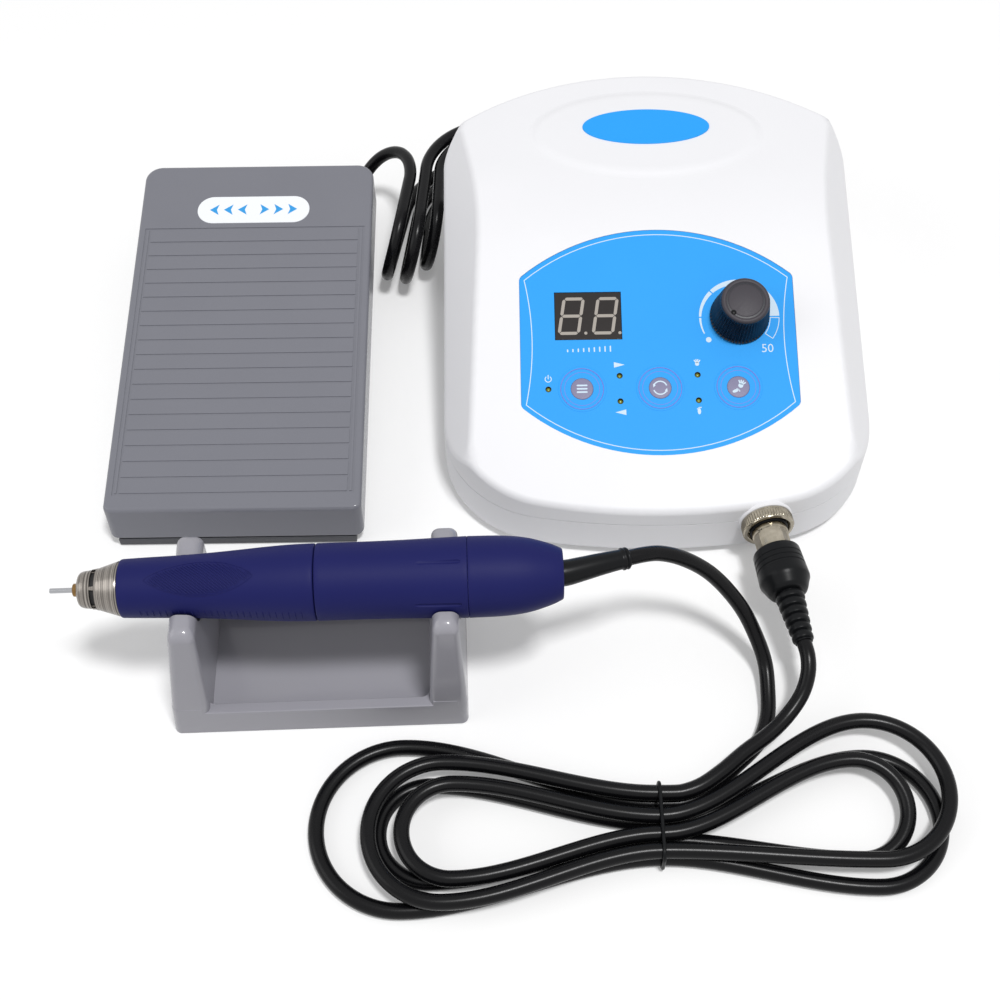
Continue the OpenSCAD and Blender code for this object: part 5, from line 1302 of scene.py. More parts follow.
@dataclass
class ControlBox:
    """Control box: shells, panel, rear plate and the motor socket."""

    form: BoxForm = field(default_factory=BoxForm)
    wall: float = 2.6
    parting: float = 20.0
    foot: float = 3.0
    socket_x: float = 37.5
    socket_z: float = 20.0
    socket_bore: float = 7.3
    rear_face: float = 149.0
    rear_mid: float = 27.0
    rear_open: Pair = (92.0, 34.0)
    rear_edge: float = 3.0
    overlay: Pair = (103.4, 89.8)
    overlay_bow: float = 79.3
    overlay_middle: float = 64.3
    bow_steps: int = 28
    film_top: float = -0.3
    recess: float = -0.8
    display: Quad = (-26.0, 74.5, 25.0, 19.0)
    key_pitch: float = 29.0
    key_s: float = 45.5
    key_dia: float = 8.4
    lamp_reach: float = 14.9
    lamp_half: float = 5.0
    lamp_bore: float = 1.15
    bush_bore: float = 4.35
    bore_depth: float = -12.0
    knob: Pair = (30.8, 73.3)
    knob_gap: float = 0.6
    dial_radius: float = 15.1
    dial_spans: tuple[Pair, ...] = ((206.0, 181.0), (179.0, 136.0), (134.0, 46.0), (44.0, 1.0))
    oval_size: Quad = (89.5, 46.4, 0.9, 127.2)
    badge: Triple = (50.5, 20.0, 0.5)

    @property
    def socket(self) -> Matrix:
        """Place of the motor socket: z points out of the front."""
        x = self.socket_x
        return (self.form.place @ at(x, self.form.front_at(x), self.socket_z)
                @ turn(math.degrees(math.asin(x / self.form.front_radius)), "Z") @ turn(90, "X"))

    @property
    def film_corners(self) -> tuple[int, int, int, int]:
        """Which points of the film's outline are its corners."""
        return 0, self.bow_steps, self.bow_steps + 1, 2 * self.bow_steps + 1

    @property
    def lamps(self) -> list[Pair]:
        """Places of the five lamps on the panel."""
        s, h, r = self.key_s, self.lamp_half, self.lamp_reach
        return [(-self.key_pitch - 12.5, s), (-r, s + h), (-r, s - h), (self.key_pitch - r, s + h),
                (self.key_pitch - r, s - h)]

    def bowed(self, inset: float, sag: float = 0.0) -> list[Pair]:
        """Outline of the film drawn in by inset, with sides that bow in by sag."""
        w, r = self.overlay[0] / 2 - inset, self.overlay_bow - inset
        top = self.overlay_middle + self.overlay[1] / 2 - self.overlay_bow
        low = self.overlay_middle - self.overlay[1] / 2 + self.overlay_bow
        xs = [w - 2 * w * k / self.bow_steps for k in range(self.bow_steps + 1)]
        upper = [(x, top + math.sqrt(r * r - x * x)) for x in xs]
        lower = [(-x, low - math.sqrt(r * r - x * x)) for x in xs]
        if not sag:
            return upper + lower
        bows = []
        for (x0, y0), (_, y1) in ((upper[-1], lower[0]), (lower[-1], upper[0])):
            bows.append([(x0 - math.copysign(4 * sag * t * (1 - t), x0), y0 + (y1 - y0) * t)
                         for t in (k / 16 for k in range(1, 16))])
        return upper + bows[0] + lower + bows[1]

    def holes(self, top: float, slack: float) -> Shape:
        """Cutters for the display, keys, lamps and the bush of the knob."""
        shape, panel, low = Shape(), self.form.panel, self.bore_depth
        x, y, w, h = self.display
        shape.box((x - w / 2 - slack, y - h / 2 - slack, low), (x + w / 2 + slack, y + h / 2 + slack, top), panel)
        for k in (-1, 0, 1):
            shape.rod(self.key_dia / 2 + slack / 4, low, top, 48, panel @ at(k * self.key_pitch, self.key_s, 0))
        for p in self.lamps:
            shape.rod(self.lamp_bore, low, top, 24, panel @ at(*p, 0))
        return shape.rod(self.bush_bore, low, top, 32, panel @ at(*self.knob, 0))

    def rear_cut(self) -> Shape:
        """Cutter for the rear opening."""
        (w, h), y = self.rear_open, self.rear_face - 20
        return Shape().box((-w / 2, y, self.rear_mid - h / 2), (w / 2, y + 60, self.rear_mid + h / 2), self.form.place)

    def socket_cut(self) -> Shape:
        """Cutter for the hole of the motor socket."""
        return Shape().rod(self.socket_bore, -20, 20, 48, self.socket)

    def hollow(self, low: float) -> Shape:
        """Cutter for the inside of the box, leaving the frame round the rear opening."""
        x, z = (v / 2 + self.rear_edge for v in self.rear_open)
        y = self.rear_face + 0.1
        block = Shape().box((-x, y, self.rear_mid - z), (x, y + 40, self.rear_mid + z))
        return self.form.solid(self.wall, low).carve(block).move(self.form.place)

    def shells(self) -> None:
        """Top and bottom shells that meet in a fine groove, and the pad round the socket."""
        low = self.parting + 0.2
        top = self.form.rounded_solid(low)
        top.soften(0.2, 2, lambda e: max(v.co.z for v in e.verts) < low + 0.01)
        top.move(self.form.place)
        recess = Shape().prism(self.bowed(-0.06), self.recess, 12.0, self.form.panel, self.film_corners, 1.2)
        top.carve(self.hollow(-5.0), self.rear_cut(), self.socket_cut(), recess, self.holes(6.0, 0.3))
        top.finish("top_shell_moulding", Look.WHITE, Body.ROOT, "top_shell", even=True, sharp=38)
        bottom = Shape().prism(self.form.outline(0.0), self.foot, self.parting)
        bottom.soften(0.2, 2, lambda e: min(v.co.z for v in e.verts) > self.parting - 0.01)
        bottom.soften(2.4, 4, lambda e: max(v.co.z for v in e.verts) < self.foot + 0.01)
        bottom.move(self.form.place)
        bottom.carve(self.hollow(self.foot + self.wall), self.rear_cut(), self.socket_cut())
        bottom.finish("bottom_shell_moulding", Look.WHITE, Body.ROOT, "bottom_shell", even=True, sharp=38)
        pad = [(7.35, -1.0), (7.35, 0.75), (8.6, 0.85), (9.4, 0.65), (9.75, 0.2), (9.75, -1.0)]
        Shape().lathe(pad, 64, self.socket, closed=True).finish("socket_pad", Look.WHITE, Body.ROOT)

    def roof(self) -> None:
        """Raised oval with a soft step, and the plain badge on it."""
        length, depth, rise, middle = self.oval_size
        place = self.form.place @ at(0, middle, self.form.roof_z)
        rings = [(3.4, -0.3), (2.2, -0.02), (1.2, 0.08), (0.4, 0.26), (-0.4, rise * 0.6), (-1.3, rise * 0.85),
                 (-2.4, rise * 0.97), (-3.6, rise)]
        loops = [[(x, y, z + self.form.top_at(middle + y) - self.form.roof_z)
                  for x, y in oval(length + 2 * g, depth + 2 * g)] for g, z in rings]
        Shape().loft(loops, place).finish("raised_oval", Look.WHITE, Body.ROOT, even=True, sharp=60)
        w, h, t = self.badge
        Shape().prism(oval(w, h), rise - 0.1, rise + t, place @ at(0, 2.8, 0), soft=0.25).finish(
            "oval_badge", Look.FILM, Body.ROOT, "badge_plate", even=True)

    def panel(self) -> None:
        """Printed film with its keys, lamps and display."""
        place, top = self.form.panel, self.film_top
        film = Shape().prism(self.bowed(0.0), self.recess + 0.05, top, place, self.film_corners, 1.0, soft=0.12)
        film.carve(self.holes(6.0, 0.12))
        film.finish("panel_film", Look.FILM, Body.ROOT, "panel_overlay", even=True)
        domes = Shape()
        for k in (-1, 0, 1):
            dome = [(9.0, top - 0.05), (8.9, top + 0.1), (8.5, top + 0.16), (8.1, top + 0.1), (8.0, top - 0.05)]
            domes.lathe(dome, 72, place @ at(k * self.key_pitch, self.key_s, 0), closed=True)
        domes.finish("embossed_key_rings", Look.FILM, Body.ROOT)
        self.print_lines()
        self.keys()
        self.lamp_pieces()
        self.digits()

    def keys(self) -> None:
        """Three round key caps, each with its sign."""
        place, top, r = self.form.panel, self.film_top, self.key_dia / 2 - 0.05
        for k, (body, node, mark) in enumerate(((Body.MODE, "mode_button", self.mode_mark),
                                                (Body.DIRECTION, "direction_button", self.turn_mark),
                                                (Body.HAND_FOOT, "hand_foot_button", self.hand_foot_mark))):
            spot = place @ at((k - 1) * self.key_pitch, self.key_s, 0)
            shape = Shape().rod(r + 1.2, -2.9, -4.2, 48, spot)
            shape.lathe([(0, -3.0), (r, -3.0), (r, top + 0.02), (r - 0.12, top + 0.12), (r - 0.4, top + 0.16),
                         (0, top + 0.2)], 64, spot)
            shape.finish(f"{node}_cap", Look.KEY, body, node)
            mark(spot @ at(0, 0, top + 0.19)).finish(f"{node}_mark", Look.INK, body)

    def lamp_pieces(self) -> None:
        """Rims of the lamp holes in painted shade black, and the lenses in them."""
        place, top = self.form.panel, self.film_top
        holes, domes = Shape(), Shape()
        for p in self.lamps:
            spot = place @ at(*p, 0)
            holes.lathe([(0.98, -3.2), (0.98, top - 0.05), (1.14, top - 0.02), (1.14, -3.2)], 24, spot, closed=True)
            domes.lathe([(0, -6.0), (0.94, -6.0), (0.94, -1.5), (0.8, -1.1), (0.5, -0.85), (0, -0.75)], 24, spot)
        # black rims inside the lamp holes: painted shade
        holes.finish("lamp_hole_shade_rims", Look.HOLE_SHADE, Body.ROOT)
        domes.finish("lamp_lenses", Look.LAMP, Body.ROOT, "indicator_lamps")

    def digits(self) -> None:
        """Smoked display with two slanted seven-segment figures and their points."""
        x, y, w, h = self.display
        place, top = self.form.panel @ at(x, y, 0), self.film_top - 0.08
        Shape().prism(rounded(w, h, 0.4, 3), -8.2, top, place, soft=0.15).finish(
            "display_filter", Look.DISPLAY, Body.ROOT, "display_body", even=True)
        low, high = (top + v for v in PRINT)
        shape, slant = Shape(), math.tan(math.radians(9))
        half_w, half_h, t = 3.6, 6.9, 1.2
        for cx in (-6.3, 6.5):
            bars = [((-half_w, y0), (half_w, y0)) for y0 in (-half_h, 0.0, half_h)]
            bars += [((x0, y0), (x0, y0 + half_h)) for x0 in (-half_w, half_w) for y0 in (-half_h, 0.0)]
            for (ax, ay), (bx, by) in bars:
                a, b = Vector((ax, ay)), Vector((bx, by))
                way = (b - a).normalized()
                side = Vector((-way.y, way.x)) * t / 2
                a, b = a + way * 0.16, b - way * 0.16
                tip = way * t / 2
                ring = [a, a + tip - side, b - tip - side, b, b - tip + side, a + tip + side]
                shape.prism([(cx + p.x + slant * p.y, p.y) for p in ring], low, high, place)
            shape.prism(shifted(oval(1.2, 1.2, 20), cx + 5.3, -half_h), low, high, place)
        shape.finish("display_segments", Look.SEGMENT, Body.ROOT)

    def ribbon(self, shape: Shape, outline: Sequence[Pair], width: float, low: float, high: float, place: Matrix,
               closed: bool = True) -> None:
        """Adds a thin flat line of even width along an outline."""
        pts = [Vector(p) for p in outline]
        count, sides = len(pts), []
        for i, p in enumerate(pts):
            before = pts[i - 1] if closed or i else p
            after = pts[(i + 1) % count] if closed or i < count - 1 else p
            d0, d1 = (p - before).normalized(), (after - p).normalized()
            way = (d0 + d1).normalized() if (d0 + d1).length > 1e-6 else d1
            bend = max(math.sqrt((1 + d0.dot(d1)) / 2) if d0.length and d1.length else 1.0, 0.5)
            sides.append(Vector((-way.y, way.x)) * width / 2 / bend)
        for i in range(count if closed else count - 1):
            j = (i + 1) % count
            quad = [pts[i] + sides[i], pts[i] - sides[i], pts[j] - sides[j], pts[j] + sides[j]]
            shape.prism([(q.x, q.y) for q in quad], low, high, place)

    def dial(self, shape: Shape, low: float, high: float) -> None:
        """Adds the dial round the knob: a wedge in four spans that grows thicker as it turns up.

        Args:
            shape: print to add to.
            low: height it starts from.
            high: height it ends at.
        """
        (kx, ky), outer, start = self.knob, self.dial_radius, self.dial_spans[0][0]

        def thick(a: float) -> float:
            """Thickness of the wedge at an angle."""
            return 0.45 + 3.15 * (start - a) / start

        for a0, a1 in self.dial_spans:
            n = max(4, int(abs(a1 - a0) / 4))
            turns = [a0 + (a1 - a0) * k / n for k in range(n + 1)]
            for b0, b1 in zip(turns, turns[1:]):
                ring = ((outer, b0), (outer, b1), (outer - thick(b1), b1), (outer - thick(b0), b0))
                shape.prism([arc(kx, ky, r, a, a, 1)[0] for r, a in ring], low, high, self.form.panel)

    def print_lines(self) -> None:
        """White print on the film: inner border, dial, figures and small signs; violet rings round the keys."""
        place, (low, high) = self.form.panel, (self.film_top + v for v in PRINT)
        white = Shape()
        self.ribbon(white, self.bowed(1.9, 2.6), 0.34, low, high, place)
        kx, ky = self.knob
        self.dial(white, low, high)
        frame_line = arc(kx, ky, 14.95, -2, -36, 8) + arc(kx, ky, 11.6, -36, -2, 8)
        self.ribbon(white, frame_line, 0.3, low, high, place)
        white.prism(shifted(oval(2.1, 2.1, 24), kx - 11.9, ky - 9.0), low, high, place)
        white.figures("50", 3.4, 0.03, place @ at(40.7, 60.5, self.film_top + 0.02))
        power = shifted(arc(0, 0, 1.15, 125, 415, 20), -41.5, 49.5)
        self.ribbon(white, power, 0.34, low, high, place, closed=False)
        white.prism(shifted(rounded(0.36, 1.7, 0.15, 3), -41.5, 50.3), low, high, place)
        for k in range(9):
            tick = rounded(0.5, 1.1 + 0.16 * k, 0.2, 3)
            white.prism(shifted(tick, -34.0 + 2.0 * k, 60.6 + 0.08 * k), low, high, place)
        for (x, s), side in zip(self.lamps[1:], (1, -1, 1, -1)):
            cx, cy = x, s + side * 4.3
            if x < 0:
                points = [(cx - 2.0 * side, cy - 1.1), (cx + 2.0 * side, cy), (cx - 2.0 * side, cy + 1.1)]
                white.prism(points if side > 0 else points[::-1], low, high, place)
            else:
                sign = self.hand_sign if side > 0 else self.foot_sign
                sign(white, place @ at(cx, cy, self.film_top + 0.02), 0.52)
        white.finish("panel_print", Look.INK, Body.ROOT)
        violet = Shape()
        for k in (-1, 0, 1):
            for r, width in ((7.95, 0.2), (6.5, 0.16)):
                ring = shifted(oval(2 * r, 2 * r, 72), k * self.key_pitch, self.key_s)
                self.ribbon(violet, ring, width, low, high + (0.14 if r > 7.9 else 0.0), place)
        violet.finish("key_ring_print", Look.RING, Body.ROOT)

    def mode_mark(self, place: Matrix) -> Shape:
        """Generic sign of the mode key: three bars."""
        shape = Shape()
        for y in (-1.3, 0.0, 1.3):
            shape.prism(shifted(rounded(4.0, 0.62, 0.25, 3), 0.0, y), *PRINT, place)
        return shape

    def turn_mark(self, place: Matrix) -> Shape:
        """Two arrows that chase each other round a circle."""
        shape = Shape()
        for start in (20, 200):
            self.ribbon(shape, arc(0, 0, 2.55, start, start + 128, 20), 0.5, *PRINT, place, closed=False)
            a = math.radians(start + 128)
            tip = Vector((2.55 * math.cos(a + 0.5), 2.55 * math.sin(a + 0.5)))
            foot = Vector((math.cos(a), math.sin(a)))
            shape.prism([tuple(foot * 3.15), tuple(tip), tuple(foot * 1.95)], *PRINT, place)
        return shape

    def hand_sign(self, shape: Shape, place: Matrix, size: float) -> None:
        """Small open hand."""
        shape.prism([(size * x, size * y) for x, y in oval(3.0, 3.0, 20)], *SIGN, place)
        for angle in (-38, -12, 12, 36):
            spoke = place @ turn(angle, "Z")
            shape.prism([(size * x, size * (y + 2.2)) for x, y in rounded(0.8, 3.0, 0.38, 3)], *SIGN, spoke)

    def foot_sign(self, shape: Shape, place: Matrix, size: float) -> None:
        """Small foot print."""
        shape.prism([(size * x, size * y) for x, y in oval(2.4, 4.6, 20)], *SIGN, place)
        for k in range(4):
            spot = [(size * (x + 1.3 - 0.85 * k), size * (y + 2.9 - 0.12 * k * k)) for x, y in oval(0.8, 1.0, 12)]
            shape.prism(spot, *SIGN, place)

    def hand_foot_mark(self, place: Matrix) -> Shape:
        """A hand over a foot."""
        shape = Shape()
        self.hand_sign(shape, place @ at(0.9, 0.5, 0.02) @ turn(-20, "Z"), 0.62)
        self.foot_sign(shape, place @ at(-1.2, -1.6, 0.02) @ turn(-70, "Z"), 0.5)
        return shape

    def knob_piece(self) -> None:
        """Finely ribbed knob with a rim round its flat top and a dark dot as pointer."""
        place = self.form.panel @ at(*self.knob, self.knob_gap)
        ribs = 52
        profile = [(0, 12.4), (3.05, 12.4), (3.05, 4.3), (7.5, 4.3), (7.5, 0.0), (11.1, 0.0), (11.2, 0.25),
                   (11.05, 1.7), (10.95, 2.1), (10.5, 5.0), (10.0, 8.4), (9.5, 11.6), (9.15, 13.8), (9.05, 14.3),
                   (8.9, 14.75), (8.6, 15.0), (8.2, 15.05), (0, 15.05)]

        def rib(r: float, a: float, z: float) -> float:
            """Radius with the flutes taken out of the side."""
            phase = (a / (2 * math.pi) * ribs) % 1.0
            inside = 0.2 < z < 14.2 and r > 8.8
            return r - (0.75 * (0.5 - 0.5 * math.cos(2 * math.pi * phase)) ** 0.7 if inside else 0.0)

        # the blue cast of the knob's black side is painted reflection of the blue film
        Shape().lathe(profile, ribs * (4 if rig.quick() else 6), place, wobble=rib).finish(
            "speed_knob_moulding", Look.KNOB, Body.KNOB, "speed_knob", sharp=48)
        cap = [(0, 14.2), (8.85, 14.2), (8.85, 14.7), (8.7, 15.1), (8.35, 15.34), (7.9, 15.4), (7.45, 15.38),
               (7.2, 15.25), (7.05, 15.02), (6.75, 14.92), (6.5, 15.0), (6.35, 15.15), (6.05, 15.24), (0, 15.26)]
        top = Shape().lathe(cap, 96, place)
        spot = place @ turn(225, "Z") @ at(6.6, 0, 15.6)
        dimple = [(0, -1.2), (0.55, -1.05), (0.95, -0.55), (1.05, 0.0), (1.05, 0.5), (0, 0.5)]
        top.carve(Shape().lathe(dimple, 24, spot))
        top.finish("speed_knob_top", Look.KNOB_TOP, Body.KNOB, sharp=48)
        bead = [(0, -0.95), (0.85, -0.95), (1.0, -0.6), (1.0, -0.3), (0.75, -0.12), (0, -0.05)]
        Shape().lathe(bead, 24, spot).finish("speed_knob_dot", Look.PLUG, Body.KNOB, sharp=48)
        dress(Look.ZINC, "pot_shaft", "pot_body")

    def plug(self) -> list[Piece]:
        """Knurled socket ring, plated barrel and the black plug with its ribbed relief.

        Returns:
            The pieces of the plug.
        """
        place = self.socket
        knurl = 56

        def straight(r: float, a: float, z: float) -> float:
            """Radius with fine straight grooves on the ring."""
            if not (1.7 < z < 4.9 and r > 9.2):
                return r
            return r - 0.3 * (0.5 + 0.5 * math.cos(a * knurl)) ** 1.5

        rows = [(9.6, 1.72 + 3.16 * k / 4) for k in range(5)]
        ring = [(7.05, 0.86), (9.0, 0.86), (9.3, 1.0), (9.3, 1.6)] + rows
        ring += [(9.3, 4.95), (9.15, 5.4), (8.8, 5.5), (8.1, 5.5), (7.8, 5.2), (7.7, 2.4), (7.05, 2.2)]
        # the plated ring and barrel carry dark patches of painted reflection
        Shape().lathe(ring, knurl * 6, place, closed=True, wobble=straight).finish(
            "socket_ring_knurl", Look.PLATED, Body.ROOT, "socket_ring", sharp=42)
        barrel = [(5.0, -8), (5.8, -8), (5.8, 5.55), (6.35, 5.62), (6.6, 5.9), (6.6, 7.4), (6.2, 7.7), (6.2, 8.55),
                  (6.6, 8.6), (6.6, 13.2), (6.45, 13.5), (6.45, 15.0), (5.0, 15.0)]

        def flats(r: float, a: float, z: float) -> float:
            """Radius with ten lengthwise flats on the grip of the barrel."""
            on, half = 8.5 < z < 13.3 and r > 6.5, math.pi / 10
            return r * math.cos(half) / math.cos(a % (2 * half) - half) if on else r

        plated = Shape().lathe(barrel, 100, place, closed=True, wobble=flats).finish(
            "plug_barrel_plating", Look.PLATED, Body.ROOT, "plug_barrel", sharp=32)
        body = [(0, 15.1), (7.7, 15.1), (8.3, 15.4), (8.6, 16.0), (8.75, 18.6), (8.5, 18.8), (8.5, 19.2), (8.8, 19.4),
                (8.85, 20.7), (8.6, 20.9), (8.6, 21.3), (8.9, 21.5), (8.95, 22.8), (8.7, 23.0), (8.7, 23.4),
                (9.0, 23.6), (9.15, 26.2), (9.2, 27.4), (9.05, 28.2), (8.6, 29.0), (7.5, 31.6), (6.9, 32.6),
                (5.8, 33.1)]
        ribs, relief, relief_end = 6, 33.2, 52.6
        step = (relief_end - relief) / ribs
        for k in range(ribs):
            r, z = 5.2 - 1.4 * k / (ribs - 1), relief + step * k
            body += [(r - 0.8, z), (r - 0.8, z + step * 0.16), (r - 0.12, z + step * 0.26), (r, z + step * 0.38),
                     (r, z + step * 0.72), (r - 0.12, z + step * 0.84), (r - 0.8, z + step * 0.94)]
        body += [(3.2, 52.7), (3.15, 53.0), (2.72, 53.0), (0, 52.9)]
        black = Shape().lathe(body, 72, place).finish("plug_body_moulding", Look.PLUG, Body.ROOT, "plug_body", sharp=40)
        dress(Look.BLACK, "motor_socket")
        return [plated, black]

    def rear(self) -> list[Piece]:
        """Rear plate and its fittings, and the jack plug.

        Returns:
            The pieces of the jack plug.
        """
        for node, look, body, rim in (("rear_plate", Look.PLATE, Body.ROOT, 0.3),
                                      ("mains_inlet", Look.BLACK, Body.ROOT, 0.4),
                                      ("switch_frame", Look.BLACK, Body.ROOT, 0.4),
                                      ("pedal_socket", Look.ZINC, Body.ROOT, 0.2),
                                      ("switch_rocker", Look.BLACK, Body.ROCKER, 0.35)):
            Shape().copy_node(node).finish(f"{node}_dressed", look, body, node, round_by=rim, even=True)
        dress(Look.ZINC, "inlet_pins", "box_screws")
        dress(Look.RUBBER, "rubber_feet")
        dress(Look.BOARD, "panel_board", "control_board")
        dress(Look.BLACK, "tact_switches")
        dress(Look.IRON, "transformer_core")
        dress(Look.COPPER, "transformer_coil")
        place = at(99.5, 117.0, 27.0) @ turn(-90, "X")
        profile = [(0, -9.0), (1.2, -9.0), (1.75, -8.2), (1.75, 3.2), (4.5, 3.2), (4.9, 3.5), (5.0, 4.2), (5.0, 19.6),
                   (4.85, 20.6), (4.3, 24.0)]
        for k in range(5):
            z = 24.2 + 2.3 * k
            r = 4.1 - 0.14 * k
            profile += [(r - 0.7, z), (r - 0.7, z + 0.5), (r, z + 0.8), (r, z + 1.8), (r - 0.7, z + 2.1)]
        profile += [(3.2, 35.9), (2.62, 36.0), (0, 35.9)]
        jack = Shape().lathe(profile, 40, place).finish("jack_plug_moulding", Look.PLUG, Body.ROOT, "jack_plug")
        return [jack]

    def build(self) -> tuple[list[Piece], list[Piece]]:
        """Builds the box and gives back the pieces of its two plugs."""
        self.shells()
        self.roof()
        self.panel()
        self.knob_piece()
        return self.plug(), self.rear()


@dataclass
class Handpiece:
    """Motor handpiece: nose, twisting front sleeve, rear sleeve, tail and boot."""

    nose_reach: float = 74.6
    axis_height: float = AXIS_HEIGHT
    nose_length: float = 13.8
    front_end: float = 77.7
    rear_end: float = 127.7
    tail_end: float = 159.0
    nose_r: float = 9.7
    joint_r: float = 12.8
    waist_r: float = 12.8
    swell_r: float = 13.5
    tail_r: float = 8.6
    snout_r: float = 7.56
    case_r: float = 10.5
    view_side: float = 215.0
    place: Matrix = field(default_factory=STAND_PLACE.copy)

    @property
    def axis(self) -> Matrix:
        """Place of the handpiece: z runs from the nose face to the tail."""
        return self.place @ at(-self.nose_reach, 0, self.axis_height) @ turn(90, "Y")

    def front_profile(self) -> list[Pair]:
        """Distance and radius along the front sleeve."""
        n, j, f = self.nose_r, self.joint_r, self.front_end
        return [(self.nose_length + 0.8, n), (f - 55, n + 0.3), (f - 45, n + 0.6), (f - 35, n + 1.1), (f - 25, j - 1.3),
                (f - 16, j - 0.6), (f - 8, j - 0.15), (f - 0.4, j)]

    def radius_at(self, z: float) -> float:
        """Radius of the front sleeve at a distance from the nose face."""
        pts = self.front_profile()
        for (x0, r0), (x1, r1) in zip(pts, pts[1:]):
            if x0 <= z <= x1:
                return r0 + (r1 - r0) * (z - x0) / (x1 - x0)
        return pts[0][1]

    def build(self) -> None:
        """Builds and dresses the whole handpiece."""
        self.nose()
        self.sleeves()
        self.grip()
        self.boot()
        dress(Look.STEEL, "spindle")
        dress(Look.ALLOY, "motor_case")
        dress(Look.ZINC, "bearings")
        dress(Look.DARK, "magnets", "brushes")
        dress(Look.COPPER, "rotor", "commutator")

    def nose(self) -> None:
        """Turned nickel nose with its windows floored in painted shade black, bronze collet tip and bright shank."""
        profile = [(3.55, 0.1), (4.5, 0.0), (5.2, 0.25), (5.75, 0.8), (6.1, 1.7), (6.25, 2.8), (6.4, 4.2), (6.4, 4.5),
                   (6.72, 4.75), (6.95, 6.5)]
        rings = [(6.95 + 2.15 * t - 0.07 * (k % 2), 6.6 + 6.6 * t) for k, t in ((i, i / 16) for i in range(17))]
        profile += rings + [(9.05, 13.5), (8.95, 13.8), (6.0, 13.8), (5.6, 10.8), (3.55, 5.8)]
        nose = Shape().lathe(profile, 96, self.axis, closed=True)
        windows = Shape()
        for k in range(5):
            windows.box((4.5, -3.5, 4.65), (12.0, 3.5, 6.15), self.axis @ turn(72 * k + self.view_side + 30, "Z"))
        # the dark tone rings of the nose are painted reflection
        nose.carve(windows).finish("nose_cone_turning", Look.NICKEL, Body.CHUCK, "nose_cone", sharp=28)
        # black floors under the nose windows: painted shade
        Shape().lathe([(4.2, 4.68), (5.7, 4.68), (5.7, 6.12), (4.2, 6.12)], 48, self.axis, closed=True).finish(
            "nose_window_shade_floors", Look.HOLE_SHADE, Body.CHUCK)
        tip = [(0.9, -2.0), (1.9, -2.0), (2.15, -1.8), (2.2, -0.9), (2.6, -0.5), (2.95, 0.2), (3.0, 1.3), (2.28, 1.3),
               (2.28, 13.3), (0.9, 13.3)]
        Shape().lathe(tip, 32, self.axis, closed=True).finish("collet_tip", Look.BRONZE, Body.SPINDLE, "collet")
        shank = [(0, -9.8), (0.6, -9.8), (0.8, -9.65), (0.86, -9.4), (0.86, 12.3), (0, 12.3)]
        Shape().lathe(shank, 32, self.axis).finish("tool_shank_ground", Look.STEEL, Body.SPINDLE, "tool_shank")

    def sleeves(self) -> None:
        """Silicone sleeves and the tail, with the two long grooves ahead of the joint."""
        low, s, f = self.nose_length + 0.2, self.snout_r, self.front_end
        front = [(s, low), (self.nose_r - 0.5, low), (self.nose_r - 0.15, low + 0.15)]
        front += profile_through(self.front_profile())
        front += [(self.joint_r - 0.1, f - 0.1), (self.joint_r - 0.35, f + 0.1), (s, f + 0.1)]
        Shape().lathe(front, 96, self.axis, closed=True).finish("front_sleeve_silicone", Look.NAVY, Body.CHUCK,
                                                                "front_sleeve", sharp=50)
        j, w, swell, e = self.joint_r, self.waist_r, self.swell_r, self.rear_end
        line = [(f + 0.9, j), (f + 14, w), (f + 28, w + 0.15), (e - 10, swell - 0.25), (e - 0.3, swell)]
        rear = [(self.case_r, f + 0.4), (j - 0.35, f + 0.4), (j - 0.1, f + 0.6)] + profile_through(line)
        rear += [(swell - 0.05, e - 0.12), (swell - 0.2, e), (self.case_r, e)]
        sleeve = Shape().lathe(rear, 128, self.axis, closed=True)
        grooves = Shape()
        for angle, lift in ((190.0, 0.25), (254.0, 0.0)):
            spot = self.axis @ turn(angle, "Z") @ at(swell + lift, 0, 0)
            groove = [(0, e - 18), (0.5, e - 17.5), (0.8, e - 16), (0.8, e - 3.0), (0.5, e - 2.2), (0, e - 2)]
            grooves.lathe(groove, 20, spot)
        sleeve.carve(grooves).finish("rear_sleeve_silicone", Look.NAVY, Body.HANDPIECE, "rear_sleeve", sharp=45)
        t = self.tail_end
        line = [(e + 0.35, swell), (t - 20, swell - 0.2), (t - 14, swell - 0.75), (t - 10, swell - 1.5),
                (t - 6.5, swell - 2.5), (t - 3, swell - 3.7), (t - 0.4, self.tail_r)]
        tail = [(4.5, e + 0.06), (swell - 0.2, e + 0.06), (swell - 0.05, e + 0.18)] + profile_through(line, 1.0)
        tail += [(self.tail_r - 0.4, t), (4.5, t)]
        Shape().lathe(tail, 96, self.axis, closed=True).finish("tail_cap_silicone", Look.NAVY, Body.HANDPIECE,
                                                               "tail_cap", sharp=50)

    def on_sleeve(self, z: float, angle: float, lift: float) -> Vector:
        """A point over the front sleeve at a distance, angle in degrees and height."""
        r, a = self.radius_at(z) + lift, math.radians(angle)
        return self.axis @ Vector((r * math.cos(a), r * math.sin(a), z))

    def grip(self) -> None:
        """Leaf-shaped patch of fine slanting ridges with its outline, and the row of short ribs below it."""
        patch, middle = Shape(), 198.0
        z0, z1, half = 23.0, 58.5, 32.0

        def edge(z: float) -> float:
            """Half angle of the leaf at a distance."""
            t = (z - z0) / (z1 - z0)
            return half * math.sin(math.pi * min(max(t, 0.0), 1.0)) ** 0.75

